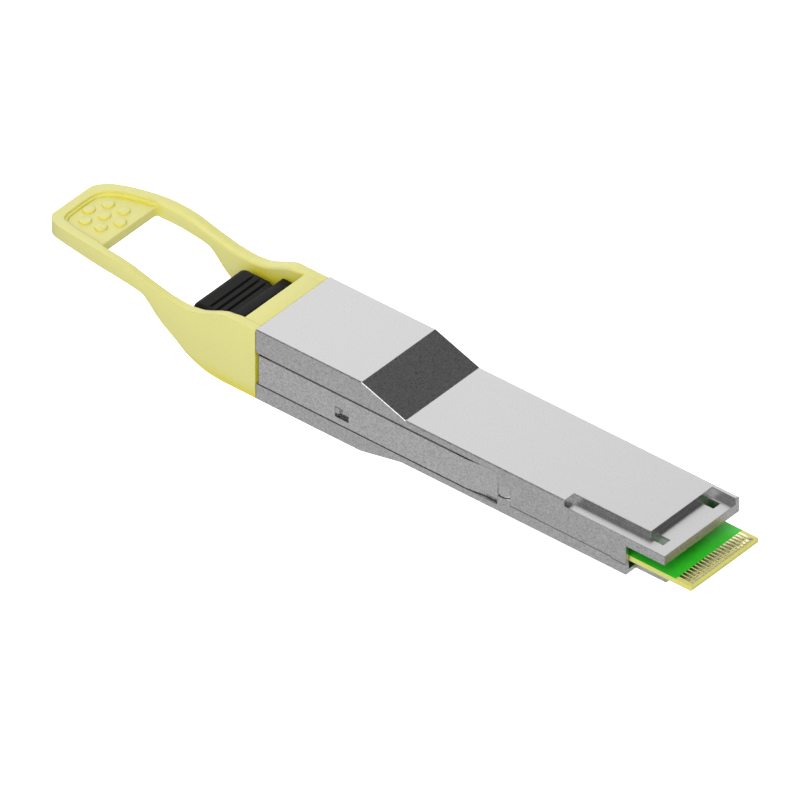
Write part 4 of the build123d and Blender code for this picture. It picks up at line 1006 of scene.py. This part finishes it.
class TRANSCEIVER_OT_stage(bpy.types.Operator):
    """Set up the pale floor, the soft lights and the camera"""
    bl_idname = "transceiver.stage"
    bl_label = "Floor, lights and camera"

    def execute(self, context):
        own = settings("transceiver_stage")
        scene = context.scene
        # half the table's size, and its height just under the module
        half, low = 3.0, CAD_BOX[0].z - 0.02 * MM
        corners = [(-half, -half, low), (half, -half, low), (half, half, low), (-half, half, low)]
        mesh = bpy.data.meshes.new("floor")
        mesh.from_pydata(corners, [], [(0, 1, 2, 3)])
        # opal acrylic table, lit from within: pale, even and nearly without shadows
        table = varied("opal_acrylic_lit_table", own.floor_colour, 100 * MM, 0.004, 0.9, 0.03, IOR=1.45,
                       Emission_Strength=own.floor_glow)
        table.node_tree.nodes["Principled BSDF"].inputs["Emission Color"].default_value = (1, 1, 1, 1)
        mesh.materials.append(table)
        floor = bpy.data.objects.new("floor", mesh)
        # the camera alone sees the table's glow, so that it doesn't outshine the lights from below
        floor.visible_glossy = floor.visible_diffuse = False
        scene.collection.objects.link(floor)
        world = bpy.data.worlds.new("studio")
        world.use_nodes = True
        tree = world.node_tree
        tree.nodes.clear()
        # a pale studio: bright low down, dim overhead, so that level and sloping faces part in tone
        around = add_node(tree, "ShaderNodeTexCoord")
        axes = add_node(tree, "ShaderNodeSeparateXYZ", links=[("Vector", around, "Generated")])
        rise = add_node(tree, "ShaderNodeMapRange", links=[("Value", axes, "Z")],
                        sockets={"From Min": -1.0, "From Max": 1.0})
        tone = add_node(tree, "ShaderNodeValToRGB", links=[("Fac", rise, "Result")],
                        stops=[(0.0, grey(0.67)), (0.45, grey(0.67)), (0.52, grey(0.55)),
                               (0.7, grey(0.35)), (0.82, grey(0.1)), (1.0, grey(0.08))])
        background = add_node(tree, "ShaderNodeBackground", links=[("Color", tone, "Color")],
                              sockets={"Strength": own.sky})
        add_node(tree, "ShaderNodeOutputWorld", links=[("Surface", background, "Background")])
        scene.world = world
        # plain display colours: what is white on the table shows as white
        scene.view_settings.view_transform = "Standard"
        aim = Vector(own.aim)
        soft_light("key_softbox", aim, own.key_towards, own.key_size, own.key_distance, own.key_power)
        soft_light("fill_softbox", aim, own.fill_towards, own.fill_size, own.fill_distance, own.fill_power)
        view = bpy.data.cameras.new("camera")
        view.lens = own.lens
        scene.camera = facing("camera", view, aim, own.towards, own.width * own.lens / view.sensor_width)
        return {"FINISHED"}


def grey(value):
    """A linear grey."""
    return (value, value, value, 1.0)


def soft_light(name, aim, towards, size, distance, power):
    """A square area light at a distance from the point it faces."""
    light = bpy.data.lights.new(name, "AREA")
    light.shape, light.size, light.energy = "SQUARE", size, power
    facing(name, light, aim, towards, distance)


def facing(name, data, aim, towards, distance):
    """A camera or light at a distance from a point, in a direction, which faces that point."""
    thing = bpy.data.objects.new(name, data)
    towards = Vector(towards).normalized()
    thing.location = aim + towards * distance
    thing.rotation_mode = "QUATERNION"
    thing.rotation_quaternion = (-towards).to_track_quat("-Z", "Y")
    bpy.context.scene.collection.objects.link(thing)
    return thing


# ---------------------------------------------------------------- panel and registration

GROUPS = {
    "transceiver_metal": TransceiverMetalSettings,
    "transceiver_tab": TransceiverTabSettings,
    "transceiver_plug": TransceiverPlugSettings,
    "transceiver_card": TransceiverCardSettings,
    "transceiver_springs": TransceiverSpringSettings,
    "transceiver_stage": TransceiverStageSettings,
}
OPERATORS = (TRANSCEIVER_OT_shells, TRANSCEIVER_OT_fasteners, TRANSCEIVER_OT_latch, TRANSCEIVER_OT_pull_tab,
             TRANSCEIVER_OT_port, TRANSCEIVER_OT_dust_plug, TRANSCEIVER_OT_card, TRANSCEIVER_OT_board_parts,
             TRANSCEIVER_OT_stage)


class TRANSCEIVER_PT_panel(bpy.types.Panel):
    """Sizes, colours and operators of the transceiver module"""
    bl_idname = "TRANSCEIVER_PT_panel"
    bl_label = "Transceiver"
    bl_space_type = "VIEW_3D"
    bl_region_type = "UI"
    bl_category = "Transceiver"

    def draw(self, context):
        for operator in OPERATORS:
            self.layout.operator(operator.bl_idname)
        for name, group in GROUPS.items():
            box = self.layout.box()
            box.label(text=name.split("_")[1].capitalize())
            for key in group.__annotations__:
                box.prop(getattr(context.scene, name), key)


def register():
    for group in GROUPS.values():
        bpy.utils.register_class(group)
    for operator in OPERATORS:
        bpy.utils.register_class(operator)
    bpy.utils.register_class(TRANSCEIVER_PT_panel)
    for name, group in GROUPS.items():
        setattr(bpy.types.Scene, name, bpy.props.PointerProperty(type=group))


def unregister():
    for name in GROUPS:
        delattr(bpy.types.Scene, name)
    bpy.utils.unregister_class(TRANSCEIVER_PT_panel)
    for operator in reversed(OPERATORS):
        bpy.utils.unregister_class(operator)
    for group in reversed(list(GROUPS.values())):
        bpy.utils.unregister_class(group)


def main():
    """Make every piece."""
    register()
    for operator in OPERATORS:
        kind, name = operator.bl_idname.split(".")
        getattr(getattr(bpy.ops, kind), name)()


if __name__ == "__main__":
    main()
